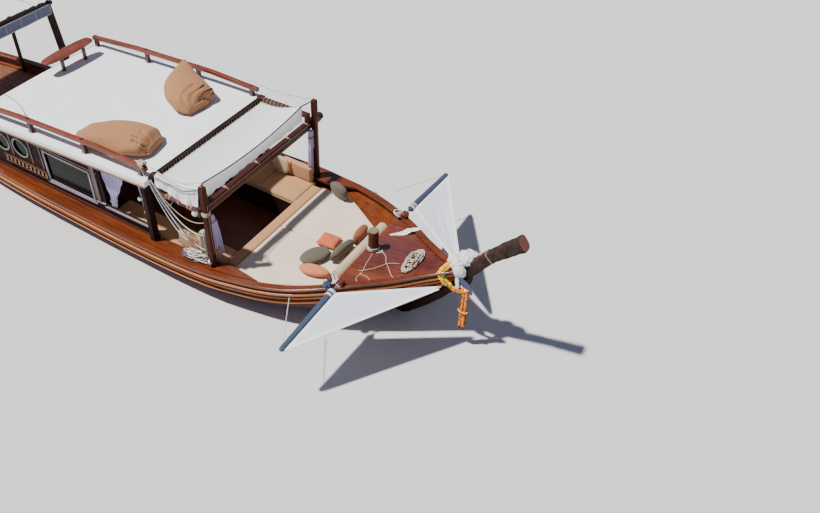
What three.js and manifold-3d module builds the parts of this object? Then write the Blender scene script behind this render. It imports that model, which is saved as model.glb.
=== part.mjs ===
// A Thai longtail boat for day trips: decked bow with net wings, sunken cockpit,
// cabin under a roof deck, and a car-type engine on a swivel post with a long shaft.
// Millimetres, +X to the bow, +Y to port, +Z up, origin at the waterline amidships.
import * as THREE from 'three';
import * as BufferGeometryUtils from 'three/addons/utils/BufferGeometryUtils.js';
import Module from 'manifold-3d';

const wasm = await Module();
wasm.setup();

// Driving dimensions
const GAP = 0.3;
const PLANK = 60;
const SOLE = 150;
const STERN_X = -7700;
const BOW_X = 7500;

// Hull lines: x, height of the plank's top, half-breadth there, keel height, fullness low and high
const HULL_LINES = [
  [-7700, 1020, 700, 110, 2.0, 0.62],
  [-7000, 930, 960, -40, 2.0, 0.62],
  [-6000, 830, 1260, -250, 2.1, 0.6],
  [-4800, 745, 1530, -390, 2.2, 0.6],
  [-3400, 685, 1720, -460, 2.2, 0.6],
  [-1800, 655, 1830, -490, 2.2, 0.6],
  [0, 655, 1880, -500, 2.2, 0.6],
  [1500, 680, 1905, -500, 2.2, 0.6],
  [2500, 730, 1910, -500, 2.2, 0.6],
  [3300, 790, 1885, -495, 2.15, 0.6],
  [3850, 840, 1810, -485, 2.1, 0.61],
  [4400, 905, 1715, -460, 2.0, 0.62],
  [4950, 985, 1550, -410, 1.85, 0.65],
  [5500, 1105, 1290, -320, 1.75, 0.68],
  [5830, 1180, 1110, -220, 1.7, 0.7],
  [6270, 1270, 840, 0, 1.65, 0.73],
  [6600, 1335, 620, 250, 1.6, 0.76],
  [7150, 1510, 260, 880, 1.6, 0.8],
  [7500, 1630, 90, 1380, 1.6, 0.85],
];
const AFT_STEP = 600;
const BOW_STEP = 320;
const BOW_START = 4300;

const STRAKE_OUT = 45;
const STRAKE_HIGH = 60;
const UPPER_STRAKE_DROP = 60;
const LOWER_STRAKE_DROP = 320;
const CAP_OUT = 40;
const CAP_IN = 50;
const CAP_HIGH = 55;
const KEEL_DEEP = 130;
const KEEL_HALF = 55;
const BOTTOM_END_X = 6430;

const SIDE_DECK_IN = 1540;
const SIDE_DECK_THICK = 45;
const SIDE_DECK_AFT_X = -4600;
const SIDE_DECK_FORE_X = 4300;
// Its inner edge forward of the seats: x, half-breadth
const SIDE_DECK_FORE_ROWS = [[3372, 1500], [3700, 1505], [4000, 1560], [4300, 1625]];
const AFT_DECK_DROP = 150;
const AFT_DECK_THICK = 50;

const FOREDECK_X = 5612;
const FOREDECK_THICK = 50;
const FOREDECK_CROWN = 35;

const SUNPAD_X = 3372;
const SEAT_Z = 640;
const CUSHION = 145;
const FRONT_SEAT_DEEP = 225;
const CUSHION_EDGE = 30;
// The mattress's outline: x, half-breadth
const MATTRESS_ROWS = [[3601, 1445], [4290, 1495], [5604, 737]];
const LINING_AFT_X = 4050;
const LINING_DROP = 60;
const LINING_TOP_IN = 45;
const BOLSTER_X = 5400;
const BOLSTER_R = 112;
const BOLSTER_Y = [-720, 990];
const DISC_X = 2600;
const DISC_R = 220;
const DISC_Y = [1305, 1385];

const SEAT_AFT_X = 580;
const BACK_AFT_X = 2350;
const BACK_FORE_X = 3311;
const BACK_IN = 1390;
const BACK_TOP_Z = 1130;
const BENCH_AFT_X = -700;
const BENCH_IN_PORT = 760;
const BENCH_IN_STARBOARD = 1040;
const BENCH_OUT = 1530;

const WALL_IN = 1555;
const WALL_OUT = 1595;
const CABIN_AFT_X = -2640;
const CABIN_POST_X = 1815;
const ROOF_AFT_X = -2750;
const ROOF_FORE_X = 1980;
const ROOF_HALF = 1760;
const ROOF_AFT_Z = 1947;
const ROOF_SLOPE = 0.07;
const ROOF_CAMBER = 40;
const ROOF_THICK = 115;
const ROOF_SHOULDER_Y = 900;

const RAIL_Y = 1600;
// Roof rail: x and how far its top is over the roof's edge line
const RAIL_ROWS = [[-2750, 345], [-1400, 410], [700, 410], [1930, 320]];
const RAIL_WIDE = 90;
const RAIL_DEEP = 90;
const STANCHION_HALF = 46;
const STANCHIONS_X = [1771, 341, -1122, -2673];

const FRONT_POST_X = 3300;
const POST_Y = 1650;
const POST_WIDE = 110;
const POST_TOP_Z = 2695;
const BEAM_Z = 2110;
const BEAM_HALF = 85;
const BEAM_THICK = 110;
const BEAM_ENDS = [-1740, 1950];
const HEADER_WIDE = 95;
const HEADER_DEEP = 105;
const HEADER_HALF = 1640;
const SIDE_BEAM_WIDE = 95;
const SIDE_BEAM_DEEP = 95;
const SIDE_BEAM_Z = [2325, 2360];
const HEADER_PROUD = 70;
const STRUT_LONG = 90;
const AWNING_HALF = 1480;
const AWNING_THICK = 12;
const AWNING_SAG = 40;
const AWNING_AFT_Z = 2290;
const AWNING_FORE_Z = 2580;
const AWNING_FORE_DIP = 120;
const AWNING_STATIONS = [-1480, -1110, -740, -370, 0, 370, 740, 1110, 1480];
const SKIRT_LOW_Z = 2205;

const BOOM_X = 5775;
const BOOM_PIVOT = [5775, 1250, 1282];
const BOOM_TIP = [5764, 2849, 1150];
const BOOM_HALF = 55;
const BOOM_TIP_HALF = 42;
const NET_BOW = [7370, 330, 1400];
const NET_THICK = 14;
const NET_EDGE = 10;

const SAMSON_X = 5742;
const SAMSON_Y = 30;
const SAMSON_R = 102;
const SAMSON_TOP_Z = 1672;
const SAMSON_FOOT_Z = 1100;

// Rope coil on the foredeck: centre, outer half-width and half-length, the same of its hole, height
const COIL = { x: 6620, y: -20, wide: 150, long: 360, holeWide: 50, holeLong: 240, high: 60 };
// Rope hank at the near front post: length along X, sides, foot and top
const HANK = { long: 230, y0: -1700, y1: -1600, z0: 900, z1: 1650, edge: 40 };

// Garland round the stem: how far it stands proud, then where its two hanging strands are
const COLLAR_PROUD = 60;
const COLLAR_CLEAR = 1.2;
const STRANDS = [[7745, -180], [7815, -180]];
const STRAND_R = 40;
const STRAND_Z = [400, 1430];
const STRAND_LINK = { from: [7640, -165, 1600], to: [7800, -180, 1410], r: 45 };

const CANOPY_FORE_X = -3750;
const CANOPY_AFT_X = -6250;
const CANOPY_Z = 2820;
const CANOPY_HALF = 1480;
const CANOPY_RIM = 80;
const CANOPY_RIM_Y = 1430;
const CANOPY_POST = 64;
const CANOPY_RAKE = -270;
// Feet of the canopy's posts: x, y
const CANOPY_POSTS = [[-3540, 1465], [-3680, 1450], [-5150, 1250]];

const ENGINE_PIVOT = [-7560, 0, 1350];
const SHAFT_ANGLE = 19.5;
const SHAFT_UP = 150;
const SHAFT_LONG = 4900;

// Colours: name, hex, roughness, metalness
const COLOURS = {
  plank: [0x773b24, 0.35, 0],
  varnish: [0x8b563e, 0.25, 0],
  darkwood: [0x4a2a22, 0.4, 0],
  weathered: [0x47352f, 0.8, 0],
  roof: [0xd9dee1, 0.6, 0],
  canvas: [0xccd1d5, 0.8, 0],
  mattress: [0xd7cfc6, 0.9, 0],
  tan: [0xb89a78, 0.85, 0],
  beanbag: [0xbb9d81, 0.9, 0],
  green: [0x8f887d, 0.9, 0],
  terracotta: [0xd39d84, 0.9, 0],
  boom: [0x657c8a, 0.7, 0],
  rope: [0xd8cdb8, 0.9, 0],
  flower: [0xe0a020, 0.9, 0],
  steel: [0x70757a, 0.4, 0.8],
  engine: [0x4b6a58, 0.5, 0.4],
  bronze: [0xb08a4a, 0.35, 0.9],
};

const boat = new THREE.Group();

function material(colour) {
  const [hex, roughness, metalness] = COLOURS[colour];
  return new THREE.MeshStandardMaterial({ color: hex, roughness, metalness });
}

function addPiece(name, geometry, colour, parent = boat) {
  const mesh = new THREE.Mesh(geometry, material(colour));
  mesh.name = name;
  parent.add(mesh);
  return mesh;
}

// Solids
function toSolid(geometry) {
  const plain = geometry.clone();
  plain.deleteAttribute('normal');
  plain.deleteAttribute('uv');
  const merged = BufferGeometryUtils.mergeVertices(plain, 1e-3);
  const vertProperties = new Float32Array(merged.attributes.position.array);
  const triVerts = new Uint32Array(merged.index.array);
  return new wasm.Manifold(new wasm.Mesh({ numProp: 3, vertProperties, triVerts }));
}

function toGeometry(solid) {
  const mesh = solid.getMesh();
  const geometry = new THREE.BufferGeometry();
  geometry.setAttribute('position', new THREE.BufferAttribute(new Float32Array(mesh.vertProperties), 3));
  geometry.setIndex(new THREE.BufferAttribute(new Uint32Array(mesh.triVerts), 1));
  return geometry;
}

function join(...geometries) {
  const solids = geometries.map(toSolid);
  return toGeometry(solids.reduce((sum, solid) => sum.add(solid)));
}

function cut(geometry, ...cutters) {
  return toGeometry(cutters.reduce((sum, cutter) => sum.subtract(toSolid(cutter)), toSolid(geometry)));
}

function box(x0, x1, y0, y1, z0, z1) {
  const geometry = new THREE.BoxGeometry(x1 - x0, y1 - y0, z1 - z0);
  return geometry.translate((x0 + x1) / 2, (y0 + y1) / 2, (z0 + z1) / 2);
}

// A round bar between two points
function bar(from, to, radius, sides = 12, endRadius = radius) {
  const a = new THREE.Vector3(...from);
  const b = new THREE.Vector3(...to);
  const geometry = new THREE.CylinderGeometry(endRadius, radius, a.distanceTo(b), sides);
  const turn = new THREE.Quaternion().setFromUnitVectors(
    new THREE.Vector3(0, 1, 0), b.clone().sub(a).normalize());
  geometry.applyQuaternion(turn);
  return geometry.translate((a.x + b.x) / 2, (a.y + b.y) / 2, (a.z + b.z) / 2);
}

// An outline of [x, z] points, thick from y0 to y1
function sidePlate(outline, y0, y1) {
  const shape = new THREE.Shape(outline.map(([x, z]) => new THREE.Vector2(x, z)));
  const geometry = new THREE.ExtrudeGeometry(shape, { depth: y1 - y0, bevelEnabled: false });
  return geometry.rotateX(Math.PI / 2).translate(0, y1, 0);
}

// Closed rings of [x, y, z] points with equal counts, joined in order and capped
function loft(rings, capAxes = [1, 2]) {
  const count = rings[0].length;
  const index = [];
  for (let s = 0; s < rings.length - 1; s += 1) {
    for (let i = 0; i < count; i += 1) {
      const a = s * count + i;
      const b = s * count + ((i + 1) % count);
      index.push(a, b, b + count, a, b + count, a + count);
    }
  }
  const flat = ring => ring.map(p => new THREE.Vector2(p[capAxes[0]], p[capAxes[1]]));
  const last = (rings.length - 1) * count;
  const firstCap = THREE.ShapeUtils.triangulateShape(flat(rings[0]), []);
  const lastCap = THREE.ShapeUtils.triangulateShape(flat(rings[rings.length - 1]), []);
  const turned = isTurned(flat(rings[0]));
  const lastTurned = isTurned(flat(rings[rings.length - 1]));
  firstCap.forEach(([a, b, c]) => index.push(...(turned ? [a, b, c] : [a, c, b])));
  lastCap.forEach(([a, b, c]) => index.push(...(lastTurned ? [c, b, a] : [b, c, a]).map(i => i + last)));
  const geometry = new THREE.BufferGeometry();
  geometry.setAttribute('position', new THREE.Float32BufferAttribute(rings.flat(2), 3));
  geometry.setIndex(index);
  return facingOut(geometry);
}

function isTurned(points) {
  return THREE.ShapeUtils.isClockWise(points);
}

// The signed volume says whether the faces point out
function facingOut(geometry) {
  const p = geometry.attributes.position;
  const index = Array.from(geometry.index.array);
  const at = i => new THREE.Vector3().fromBufferAttribute(p, i);
  let volume = 0;
  for (let i = 0; i < index.length; i += 3) {
    volume += at(index[i]).dot(at(index[i + 1]).cross(at(index[i + 2])));
  }
  if (volume < 0) {
    for (let i = 0; i < index.length; i += 3) {
      [index[i], index[i + 1]] = [index[i + 1], index[i]];
    }
    geometry.setIndex(index);
  }
  return geometry;
}

function mirrored(geometry) {
  const copy = toGeometry(toSolid(geometry)).scale(1, -1, 1);
  const index = Array.from(copy.index.array);
  for (let i = 0; i < index.length; i += 3) {
    [index[i], index[i + 1]] = [index[i + 1], index[i]];
  }
  copy.setIndex(index);
  return copy;
}

const SIDES = [['port', 1], ['starboard', -1]];

function addPair(name, geometry, colour) {
  SIDES.forEach(([side, sign]) => {
    addPiece(`${name}_${side}`, sign > 0 ? geometry : mirrored(geometry), colour);
  });
}

// Hull lines between the table's rows
function smoothLine(x, column) {
  const rows = HULL_LINES;
  let i = 0;
  while (i < rows.length - 2 && x > rows[i + 1][0]) {
    i += 1;
  }
  const slope = k => {
    const lo = rows[Math.max(k - 1, 0)];
    const hi = rows[Math.min(k + 1, rows.length - 1)];
    return (hi[column] - lo[column]) / (hi[0] - lo[0]);
  };
  const span = rows[i + 1][0] - rows[i][0];
  const t = (x - rows[i][0]) / span;
  const a = rows[i][column];
  const b = rows[i + 1][column];
  const h = t * t * (3 - 2 * t);
  return a + (b - a) * h + span * (slope(i) * t * (1 - t) * (1 - t) - slope(i + 1) * t * t * (1 - t));
}

const STATIONS = [];
for (let x = STERN_X; x < BOW_START; x += AFT_STEP) {
  STATIONS.push(x);
}
for (let x = BOW_START; x < BOW_X - 1; x += BOW_STEP) {
  STATIONS.push(x);
}
STATIONS.push(BOW_X);

const LINES = STATIONS.map(x => [1, 2, 3, 4, 5].map(column => smoothLine(x, column)));

// The faceted hull at x: straight between the stations, as its planks are
function hullAt(x) {
  let i = 0;
  while (i < STATIONS.length - 2 && x > STATIONS[i + 1]) {
    i += 1;
  }
  const t = (x - STATIONS[i]) / (STATIONS[i + 1] - STATIONS[i]);
  const [sheer, half, keel, low, high] = LINES[i].map((a, k) => a + (LINES[i + 1][k] - a) * t);
  return { sheer, half, keel, low, high };
}

function hullY(x, z) {
  const { sheer, half, keel, low, high } = hullAt(x);
  const t = Math.min(Math.max((z - keel) / (sheer - keel), 0), 1);
  return Math.max(half * (1 - (1 - t) ** low) ** high, 12);
}

// Inner face of the planking: straight between its foot, its middle and its top
function innerY(x, z) {
  const { sheer, keel } = hullAt(x);
  const foot = Math.max(SOLE + GAP, keel);
  const middle = (foot + sheer) / 2;
  const [z0, z1] = z < middle ? [foot, middle] : [middle, sheer];
  const t = Math.min(Math.max((z - z0) / (z1 - z0), 0), 1);
  const y = hullY(x, z0) + (hullY(x, z1) - hullY(x, z0)) * t;
  return Math.max(y - PLANK, 1);
}

function stationsBetween(x0, x1) {
  return [x0, ...STATIONS.filter(x => x > x0 + 1 && x < x1 - 1), x1];
}

function ringsBetween(x0, x1, ring) {
  return loft(stationsBetween(x0, x1).map(ring));
}

// Hull
function bottomRing(x) {
  const { keel } = hullAt(x);
  const side = [1, 0.6, 0.3, 0.1, 0].map(f => {
    const z = keel + (SOLE - keel) * f;
    return [x, hullY(x, z), z];
  });
  const other = side.map(([px, y, z]) => [px, -y, z]).reverse();
  return [...side, ...other];
}

function topsideRing(x) {
  const { sheer, keel } = hullAt(x);
  const foot = Math.max(SOLE + GAP, keel);
  const room = Math.min(1, (sheer - foot) / 520);
  const strake = drop => [sheer - (drop + STRAKE_HIGH) * room, sheer - drop * room];
  const [lowA, lowB] = strake(LOWER_STRAKE_DROP);
  const [highA, highB] = strake(UPPER_STRAKE_DROP);
  const skin = (z, out = 0) => [x, hullY(x, z) + out, z];
  const proud = STRAKE_OUT * room;
  const outer = [
    skin(foot), skin((foot + lowA) / 2), skin(lowA), skin(lowA, proud), skin(lowB, proud), skin(lowB),
    skin((lowB + highA) / 2), skin(highA), skin(highA, proud), skin(highB, proud), skin(highB), skin(sheer),
  ];
  const inner = [sheer, (foot + sheer) / 2, foot].map(z => [x, innerY(x, z), z]);
  return [...outer, ...inner];
}

function capRing(x) {
  const { sheer, half } = hullAt(x);
  const inner = Math.max(half - PLANK - CAP_IN, 1);
  const outer = half + CAP_OUT;
  const low = sheer + GAP;
  const top = sheer + CAP_HIGH;
  return [[x, inner, low], [x, outer, low], [x, outer, top - 15], [x, outer - 15, top], [x, inner, top]];
}

function keelOutline() {
  const xs = STATIONS.filter(x => x < BOW_X);
  const top = [...xs, BOW_X].map(x => [x, hullAt(x).keel - 2 * GAP]);
  const under = top.map(([x, z], i) => {
    const a = top[Math.max(i - 1, 0)];
    const b = top[Math.min(i + 1, top.length - 1)];
    const length = Math.hypot(b[0] - a[0], b[1] - a[1]);
    return [x + (KEEL_DEEP * (b[1] - a[1])) / length, z - (KEEL_DEEP * (b[0] - a[0])) / length];
  });
  return [...top, ...under.reverse()];
}

function fullRing(x, drop) {
  const { sheer, keel } = hullAt(STERN_X);
  const side = [1, 0.7, 0.45, 0.2, 0.05].map(f => {
    const z = keel + (sheer - keel) * f;
    return [x, hullY(STERN_X, z), z + drop];
  });
  const other = side.map(([px, y, z]) => [px, -y, z]).reverse();
  return [...side, ...other];
}

function addHull() {
  addPiece('hull_bottom', ringsBetween(STERN_X, BOTTOM_END_X, bottomRing), 'plank');
  addPair('topside', ringsBetween(STERN_X, BOW_X, topsideRing), 'plank');
  addPiece('keel', sidePlate(keelOutline(), -KEEL_HALF, KEEL_HALF), 'darkwood');
  const transomAft = STERN_X - PLANK;
  addPiece('transom', loft([fullRing(transomAft, 0), fullRing(STERN_X - GAP, 0)]), 'plank');
}

// Stem: a ring per row, from the hull to the tip: lower x, z, upper x, z, half-width
const STEM_RINGS = [
  [7609.5, 1309.5, 7500.6, 1383, 88],
  [7655, 1392, 7500.6, 1705, 92],
  [7730, 1500, 7610, 1800, 96],
  [8152, 2147, 7978, 2297, 95],
  [8440, 2440, 8262, 2630, 105],
  [8712, 2700, 8530, 2930, 126],
];

function stemRing([x0, z0, x1, z1, half]) {
  const mix = (t, y) => [x0 + (x1 - x0) * t, y, z0 + (z1 - z0) * t];
  return [
    mix(0, half * 0.6), mix(0.2, half), mix(0.8, half), mix(1, half * 0.6),
    mix(1, -half * 0.6), mix(0.8, -half), mix(0.2, -half), mix(0, -half * 0.6),
  ];
}

function addStem() {
  addPiece('stem_post', loft(STEM_RINGS.map(stemRing)), 'weathered');
}

// Gunwales carry the blocks that the booms pivot on
function boomBlock() {
  const base = 1205;
  const y0 = 1042;
  const y1 = 1188;
  const top = 1330;
  const block = box(BOOM_X - 62, BOOM_X + 62, y0, y1, base, top);
  const neck = bar([BOOM_X, y1 - 10, BOOM_PIVOT[2]], BOOM_PIVOT, 11);
  const ball = new THREE.SphereGeometry(18, 16, 12).translate(...BOOM_PIVOT);
  return [block, neck, ball];
}

function addGunwales() {
  const cap = ringsBetween(STERN_X, BOW_X, capRing);
  addPair('gunwale', join(cap, ...boomBlock()), 'varnish');
}

// Decks
function sideDeckInner(x) {
  const rows = SIDE_DECK_FORE_ROWS;
  if (x < rows[0][0]) return SIDE_DECK_IN;
  const i = Math.min(rows.length - 2, rows.filter(row => row[0] <= x).length - 1);
  const t = (x - rows[i][0]) / (rows[i + 1][0] - rows[i][0]);
  return rows[i][1] + (rows[i + 1][1] - rows[i][1]) * t;
}

function sideDeckRing(x) {
  const { sheer, half } = hullAt(x);
  const top = sheer + CAP_HIGH;
  const low = sheer + CAP_HIGH - SIDE_DECK_THICK;
  const outer = half - PLANK - CAP_IN - GAP;
  const inner = Math.min(sideDeckInner(x), outer - 12);
  return [[x, inner, low], [x, outer, low], [x, outer, top], [x, inner, top]];
}

function aftDeckRing(x) {
  const { sheer } = hullAt(x);
  const top = sheer - AFT_DECK_DROP;
  const low = top - AFT_DECK_THICK;
  const y = innerY(x, low) - 4;
  return [[x, -y, low], [x, y, low], [x, y, top], [x, -y, top]];
}

function foredeckTop(x, y) {
  const { sheer, half } = hullAt(x);
  const edge = Math.max(half - PLANK - CAP_IN - 4, 20);
  const reach = Math.min(Math.abs(y) / edge, 1);
  return sheer - GAP + FOREDECK_CROWN * Math.min(1, edge / 600) * (1 - reach);
}

function foredeckRing(x) {
  const { sheer, half } = hullAt(x);
  const under = Math.max(half - PLANK - 3, 1);
  const edge = Math.max(half - PLANK - CAP_IN - 4, 0.7);
  const low = sheer - GAP - FOREDECK_THICK;
  const lowY = Math.max(Math.min(under, innerY(x, low) - 3), 0.5);
  return [
    [x, -lowY, low], [x, lowY, low], [x, under, sheer - GAP], [x, edge, sheer - GAP],
    [x, 0, foredeckTop(x, 0)], [x, -edge, sheer - GAP], [x, -under, sheer - GAP],
  ];
}

function sunpadRing(x) {
  const y = z => innerY(x, z) - 5;
  const levels = [SOLE + GAP, 400, SEAT_Z];
  const side = levels.map(z => [x, y(z), z]);
  const other = side.map(([px, py, z]) => [px, -py, z]).reverse();
  return [...side, ...other];
}

// Half-breadth of the mattress at x
function mattressEdge(x) {
  const rows = MATTRESS_ROWS;
  const i = x < rows[1][0] ? 0 : 1;
  const t = (x - rows[i][0]) / (rows[i + 1][0] - rows[i][0]);
  return Math.min(rows[i][1] + (rows[i + 1][1] - rows[i][1]) * t, innerY(x, SEAT_Z) - 20);
}

// Sloped lining boards between the mattress's edge and the planking
function liningRing(x, side) {
  const low = SEAT_Z - 20;
  const top = hullAt(x).sheer - LINING_DROP;
  const foot = Math.min(mattressEdge(x) + 6, innerY(x, low) - 15);
  return [
    [x, side * foot, low], [x, side * (innerY(x, low) - 5), low],
    [x, side * (innerY(x, top) - 5), top], [x, side * (innerY(x, top) - LINING_TOP_IN), top],
  ];
}

function bulkhead() {
  const x0 = FOREDECK_X;
  const low = SEAT_Z - 20;
  const top = hullAt(x0).sheer - 2 * GAP - FOREDECK_THICK;
  const ring = x => {
    const side = [low, (low + top) / 2, top].map(z => [x, innerY(x0 + 45, z) - 6, z]);
    return [...side, ...side.map(([px, py, z]) => [px, -py, z]).reverse()];
  };
  return loft([ring(x0 + 2), ring(x0 + 42)]);
}

function addDecks() {
  addPair('side_deck', ringsBetween(SIDE_DECK_AFT_X, SIDE_DECK_FORE_X, sideDeckRing), 'varnish');
  addPiece('aft_deck', ringsBetween(STERN_X + GAP, CABIN_AFT_X - GAP, aftDeckRing), 'varnish');
  const deck = ringsBetween(FOREDECK_X, BOW_X - 20, foredeckRing);
  const hole = samsonBar(SAMSON_FOOT_Z - 50, SAMSON_R + 2 * GAP);
  addPiece('foredeck', cut(deck, hole), 'varnish');
  const linings = [1, -1].map(side => ringsBetween(LINING_AFT_X, FOREDECK_X + GAP, x => liningRing(x, side)));
  const base = ringsBetween(SUNPAD_X, FOREDECK_X + 42, sunpadRing);
  addPiece('sunpad_base', join(base, bulkhead(), ...linings), 'plank');
}

// Cockpit benches and soft seats
function addSeats() {
  const z0 = SOLE + GAP;
  const fore = SUNPAD_X - GAP;
  addPiece('bench_port', box(BENCH_AFT_X, fore, BENCH_IN_PORT, BENCH_OUT, z0, SEAT_Z), 'darkwood');
  addPiece('bench_starboard', box(BENCH_AFT_X, fore, -BENCH_OUT, -BENCH_IN_STARBOARD, z0, SEAT_Z), 'darkwood');
  const seat = (y0, y1) => softBox(SEAT_AFT_X, fore - 5, y0, y1, SEAT_Z + GAP, SEAT_Z + CUSHION);
  addPiece('seat_cushion_port', seat(BENCH_IN_PORT + 5, BENCH_OUT - 5), 'tan');
  addPiece('seat_cushion_starboard', seat(5 - BENCH_OUT, -BENCH_IN_STARBOARD - 5), 'tan');
  const back = softBox(BACK_AFT_X, BACK_FORE_X, BACK_IN, BENCH_OUT - 5, SEAT_Z + CUSHION + GAP, BACK_TOP_Z);
  addPair('back_cushion', back, 'tan');
  const discZ = SEAT_Z + CUSHION + DISC_R + 2 * GAP;
  const disc = bar([DISC_X, DISC_Y[0], discZ], [DISC_X, DISC_Y[1], discZ], DISC_R, 20);
  addPiece('round_cushion', disc, 'mattress');
  const end = MATTRESS_ROWS[0][1] - 45;
  const strip = softBox(SUNPAD_X + 3, SUNPAD_X + FRONT_SEAT_DEEP, -end, end, SEAT_Z + GAP, SEAT_Z + CUSHION);
  addPiece('front_cushion', strip, 'tan');
}

// A cushion: a box with its top edges cut back
function softBox(x0, x1, y0, y1, z0, z1, edge = CUSHION_EDGE) {
  const ring = (inset, z) => [
    [x0 + inset, y0 + inset, z], [x1 - inset, y0 + inset, z], [x1 - inset, y1 - inset, z], [x0 + inset, y1 - inset, z],
  ];
  return loft([ring(0, z0), ring(0, z1 - edge), ring(edge, z1)], [0, 1]);
}

function mattressRing(x) {
  const y = mattressEdge(x);
  const top = SEAT_Z + CUSHION;
  const low = SEAT_Z + GAP;
  return [[x, 4, low], [x, y, low], [x, y, top - CUSHION_EDGE], [x, y - CUSHION_EDGE, top], [x, 4, top]];
}

function addSunpad() {
  const [aft, bend, fore] = MATTRESS_ROWS.map(([x]) => x);
  const rings = [...stationsBetween(aft, bend), ...stationsBetween(bend, fore).slice(1)].map(mattressRing);
  addPair('mattress', loft(rings), 'mattress');
  const z = SEAT_Z + CUSHION + BOLSTER_R + 2 * GAP;
  const roll = bar([BOLSTER_X, BOLSTER_Y[0], z], [BOLSTER_X, BOLSTER_Y[1], z], BOLSTER_R, 16);
  addPiece('bolster', roll, 'mattress');
}

// Pillows: name, colour, x, y, length, width, height, turn in degrees
const PILLOWS = [
  ['pillow_terracotta', 'terracotta', 4690, 90, 390, 370, 110, 5],
  ['pillow_green_near', 'green', 4730, -425, 520, 370, 150, 64],
  ['pillow_green_mid', 'green', 5110, -70, 600, 170, 330, 82],
  ['pillow_peach', 'terracotta', 4940, -757, 520, 250, 130, 14],
  ['pillow_brown', 'terracotta', 5150, 500, 430, 190, 330, 94],
  ['pillow_green_far', 'green', 4080, 1345, 440, 170, 420, -12],
];

function softRings(length, width, height) {
  const rows = [[0.7, 0], [1, 0.35], [0.95, 0.65], [0.5, 1]];
  const around = 12;
  return rows.map(([size, level]) => Array.from({ length: around }, (unused, i) => {
    const a = (2 * Math.PI * i) / around;
    const square = v => Math.sign(v) * Math.abs(v) ** 0.6;
    return [(length / 2) * size * square(Math.cos(a)), (width / 2) * size * square(Math.sin(a)), height * level];
  }));
}

function addPillows() {
  PILLOWS.forEach(([name, colour, x, y, length, width, height, turn]) => {
    const mesh = addPiece(name, loft(softRings(length, width, height), [0, 1]), colour);
    mesh.position.set(x, y, SEAT_Z + CUSHION + GAP);
    mesh.rotation.z = THREE.MathUtils.degToRad(turn);
  });
}

// Cabin
const roofEdge = x => ROOF_AFT_Z + ROOF_SLOPE * (x - ROOF_AFT_X);
const roofUnder = x => roofEdge(x) - ROOF_THICK;

// Openings in each side: x0, x1, z0, z1
const WINDOW = [-990, 253, 950, 1660];
const OPEN_SIDE = [560, 1730, 1000, 2040];
// Round windows: x, z
const PORTHOLES = [[-1705, 1440], [-2270, 1400]];
const PORTHOLE_R = 205;

function cabinSide() {
  const xs = stationsBetween(CABIN_AFT_X, CABIN_POST_X + 50);
  const foot = xs.map(x => [x, hullAt(x).sheer + CAP_HIGH + GAP]);
  const outline = [...foot, [xs[xs.length - 1], roofUnder(xs[xs.length - 1]) - GAP],
    [CABIN_AFT_X, roofUnder(CABIN_AFT_X) - GAP]];
  const wall = sidePlate(outline, WALL_IN, WALL_OUT);
  const through = ([x0, x1, z0, z1]) => box(x0, x1, WALL_IN - 20, WALL_OUT + 20, z0, z1);
  const round = ([x, z]) => bar([x, WALL_IN - 20, z], [x, WALL_OUT + 20, z], PORTHOLE_R, 24);
  return cut(wall, through(WINDOW), through(OPEN_SIDE), ...PORTHOLES.map(round));
}

function cornerPost() {
  const x0 = CABIN_POST_X - 50;
  const x1 = CABIN_POST_X + 50;
  const foot = x => hullAt(x).sheer + CAP_HIGH + GAP;
  const outline = [[x0, foot(x0)], [x1, foot(x1)], [x1, roofUnder(x1) - GAP], [x0, roofUnder(x0) - GAP]];
  return sidePlate(outline, WALL_OUT - 10, POST_Y + 50);
}

function addCabin() {
  addPair('cabin_side', join(cabinSide(), cornerPost()), 'darkwood');
  const x0 = CABIN_AFT_X + 2;
  const x1 = CABIN_AFT_X + 42;
  const top = roofUnder(x0) - GAP;
  const plate = box(x0, x1, -1524, 1524, SOLE + GAP, top);
  addPiece('cabin_bulkhead', cut(plate, box(x0 - 20, x1 + 20, -360, 360, 560, 1780)), 'darkwood');
}

function addRoof() {
  const ring = x => {
    const z = roofEdge(x);
    return [
      [x, -ROOF_HALF, z - ROOF_THICK], [x, ROOF_HALF, z - ROOF_THICK], [x, ROOF_HALF, z],
      [x, ROOF_SHOULDER_Y, z + crownAt(ROOF_SHOULDER_Y)], [x, 0, z + ROOF_CAMBER],
      [x, -ROOF_SHOULDER_Y, z + crownAt(ROOF_SHOULDER_Y)], [x, -ROOF_HALF, z],
    ];
  };
  addPiece('roof_deck', loft([ring(ROOF_AFT_X), ring(ROOF_FORE_X)]), 'roof');
}

// A bar of rectangular section that follows the roof's slope
function slopedBar(x0, x1, y0, y1, low, high) {
  const ring = x => {
    const z = roofEdge(x);
    return [[x, y0, z + low], [x, y1, z + low], [x, y1, z + high], [x, y0, z + high]];
  };
  return loft([ring(x0), ring(x1)]);
}

function railTop(x) {
  const i = Math.min(RAIL_ROWS.length - 2, RAIL_ROWS.filter(row => row[0] <= x).length - 1);
  const [[xa, a], [xb, b]] = [RAIL_ROWS[i], RAIL_ROWS[i + 1]];
  return a + ((b - a) * (x - xa)) / (xb - xa);
}

// Roof surface height above its edge, at y
const crownAt = y => (Math.abs(y) > ROOF_SHOULDER_Y
  ? ROOF_CAMBER * 0.75 * ((ROOF_HALF - Math.abs(y)) / (ROOF_HALF - ROOF_SHOULDER_Y))
  : ROOF_CAMBER * (1 - 0.25 * (Math.abs(y) / ROOF_SHOULDER_Y)));

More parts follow.
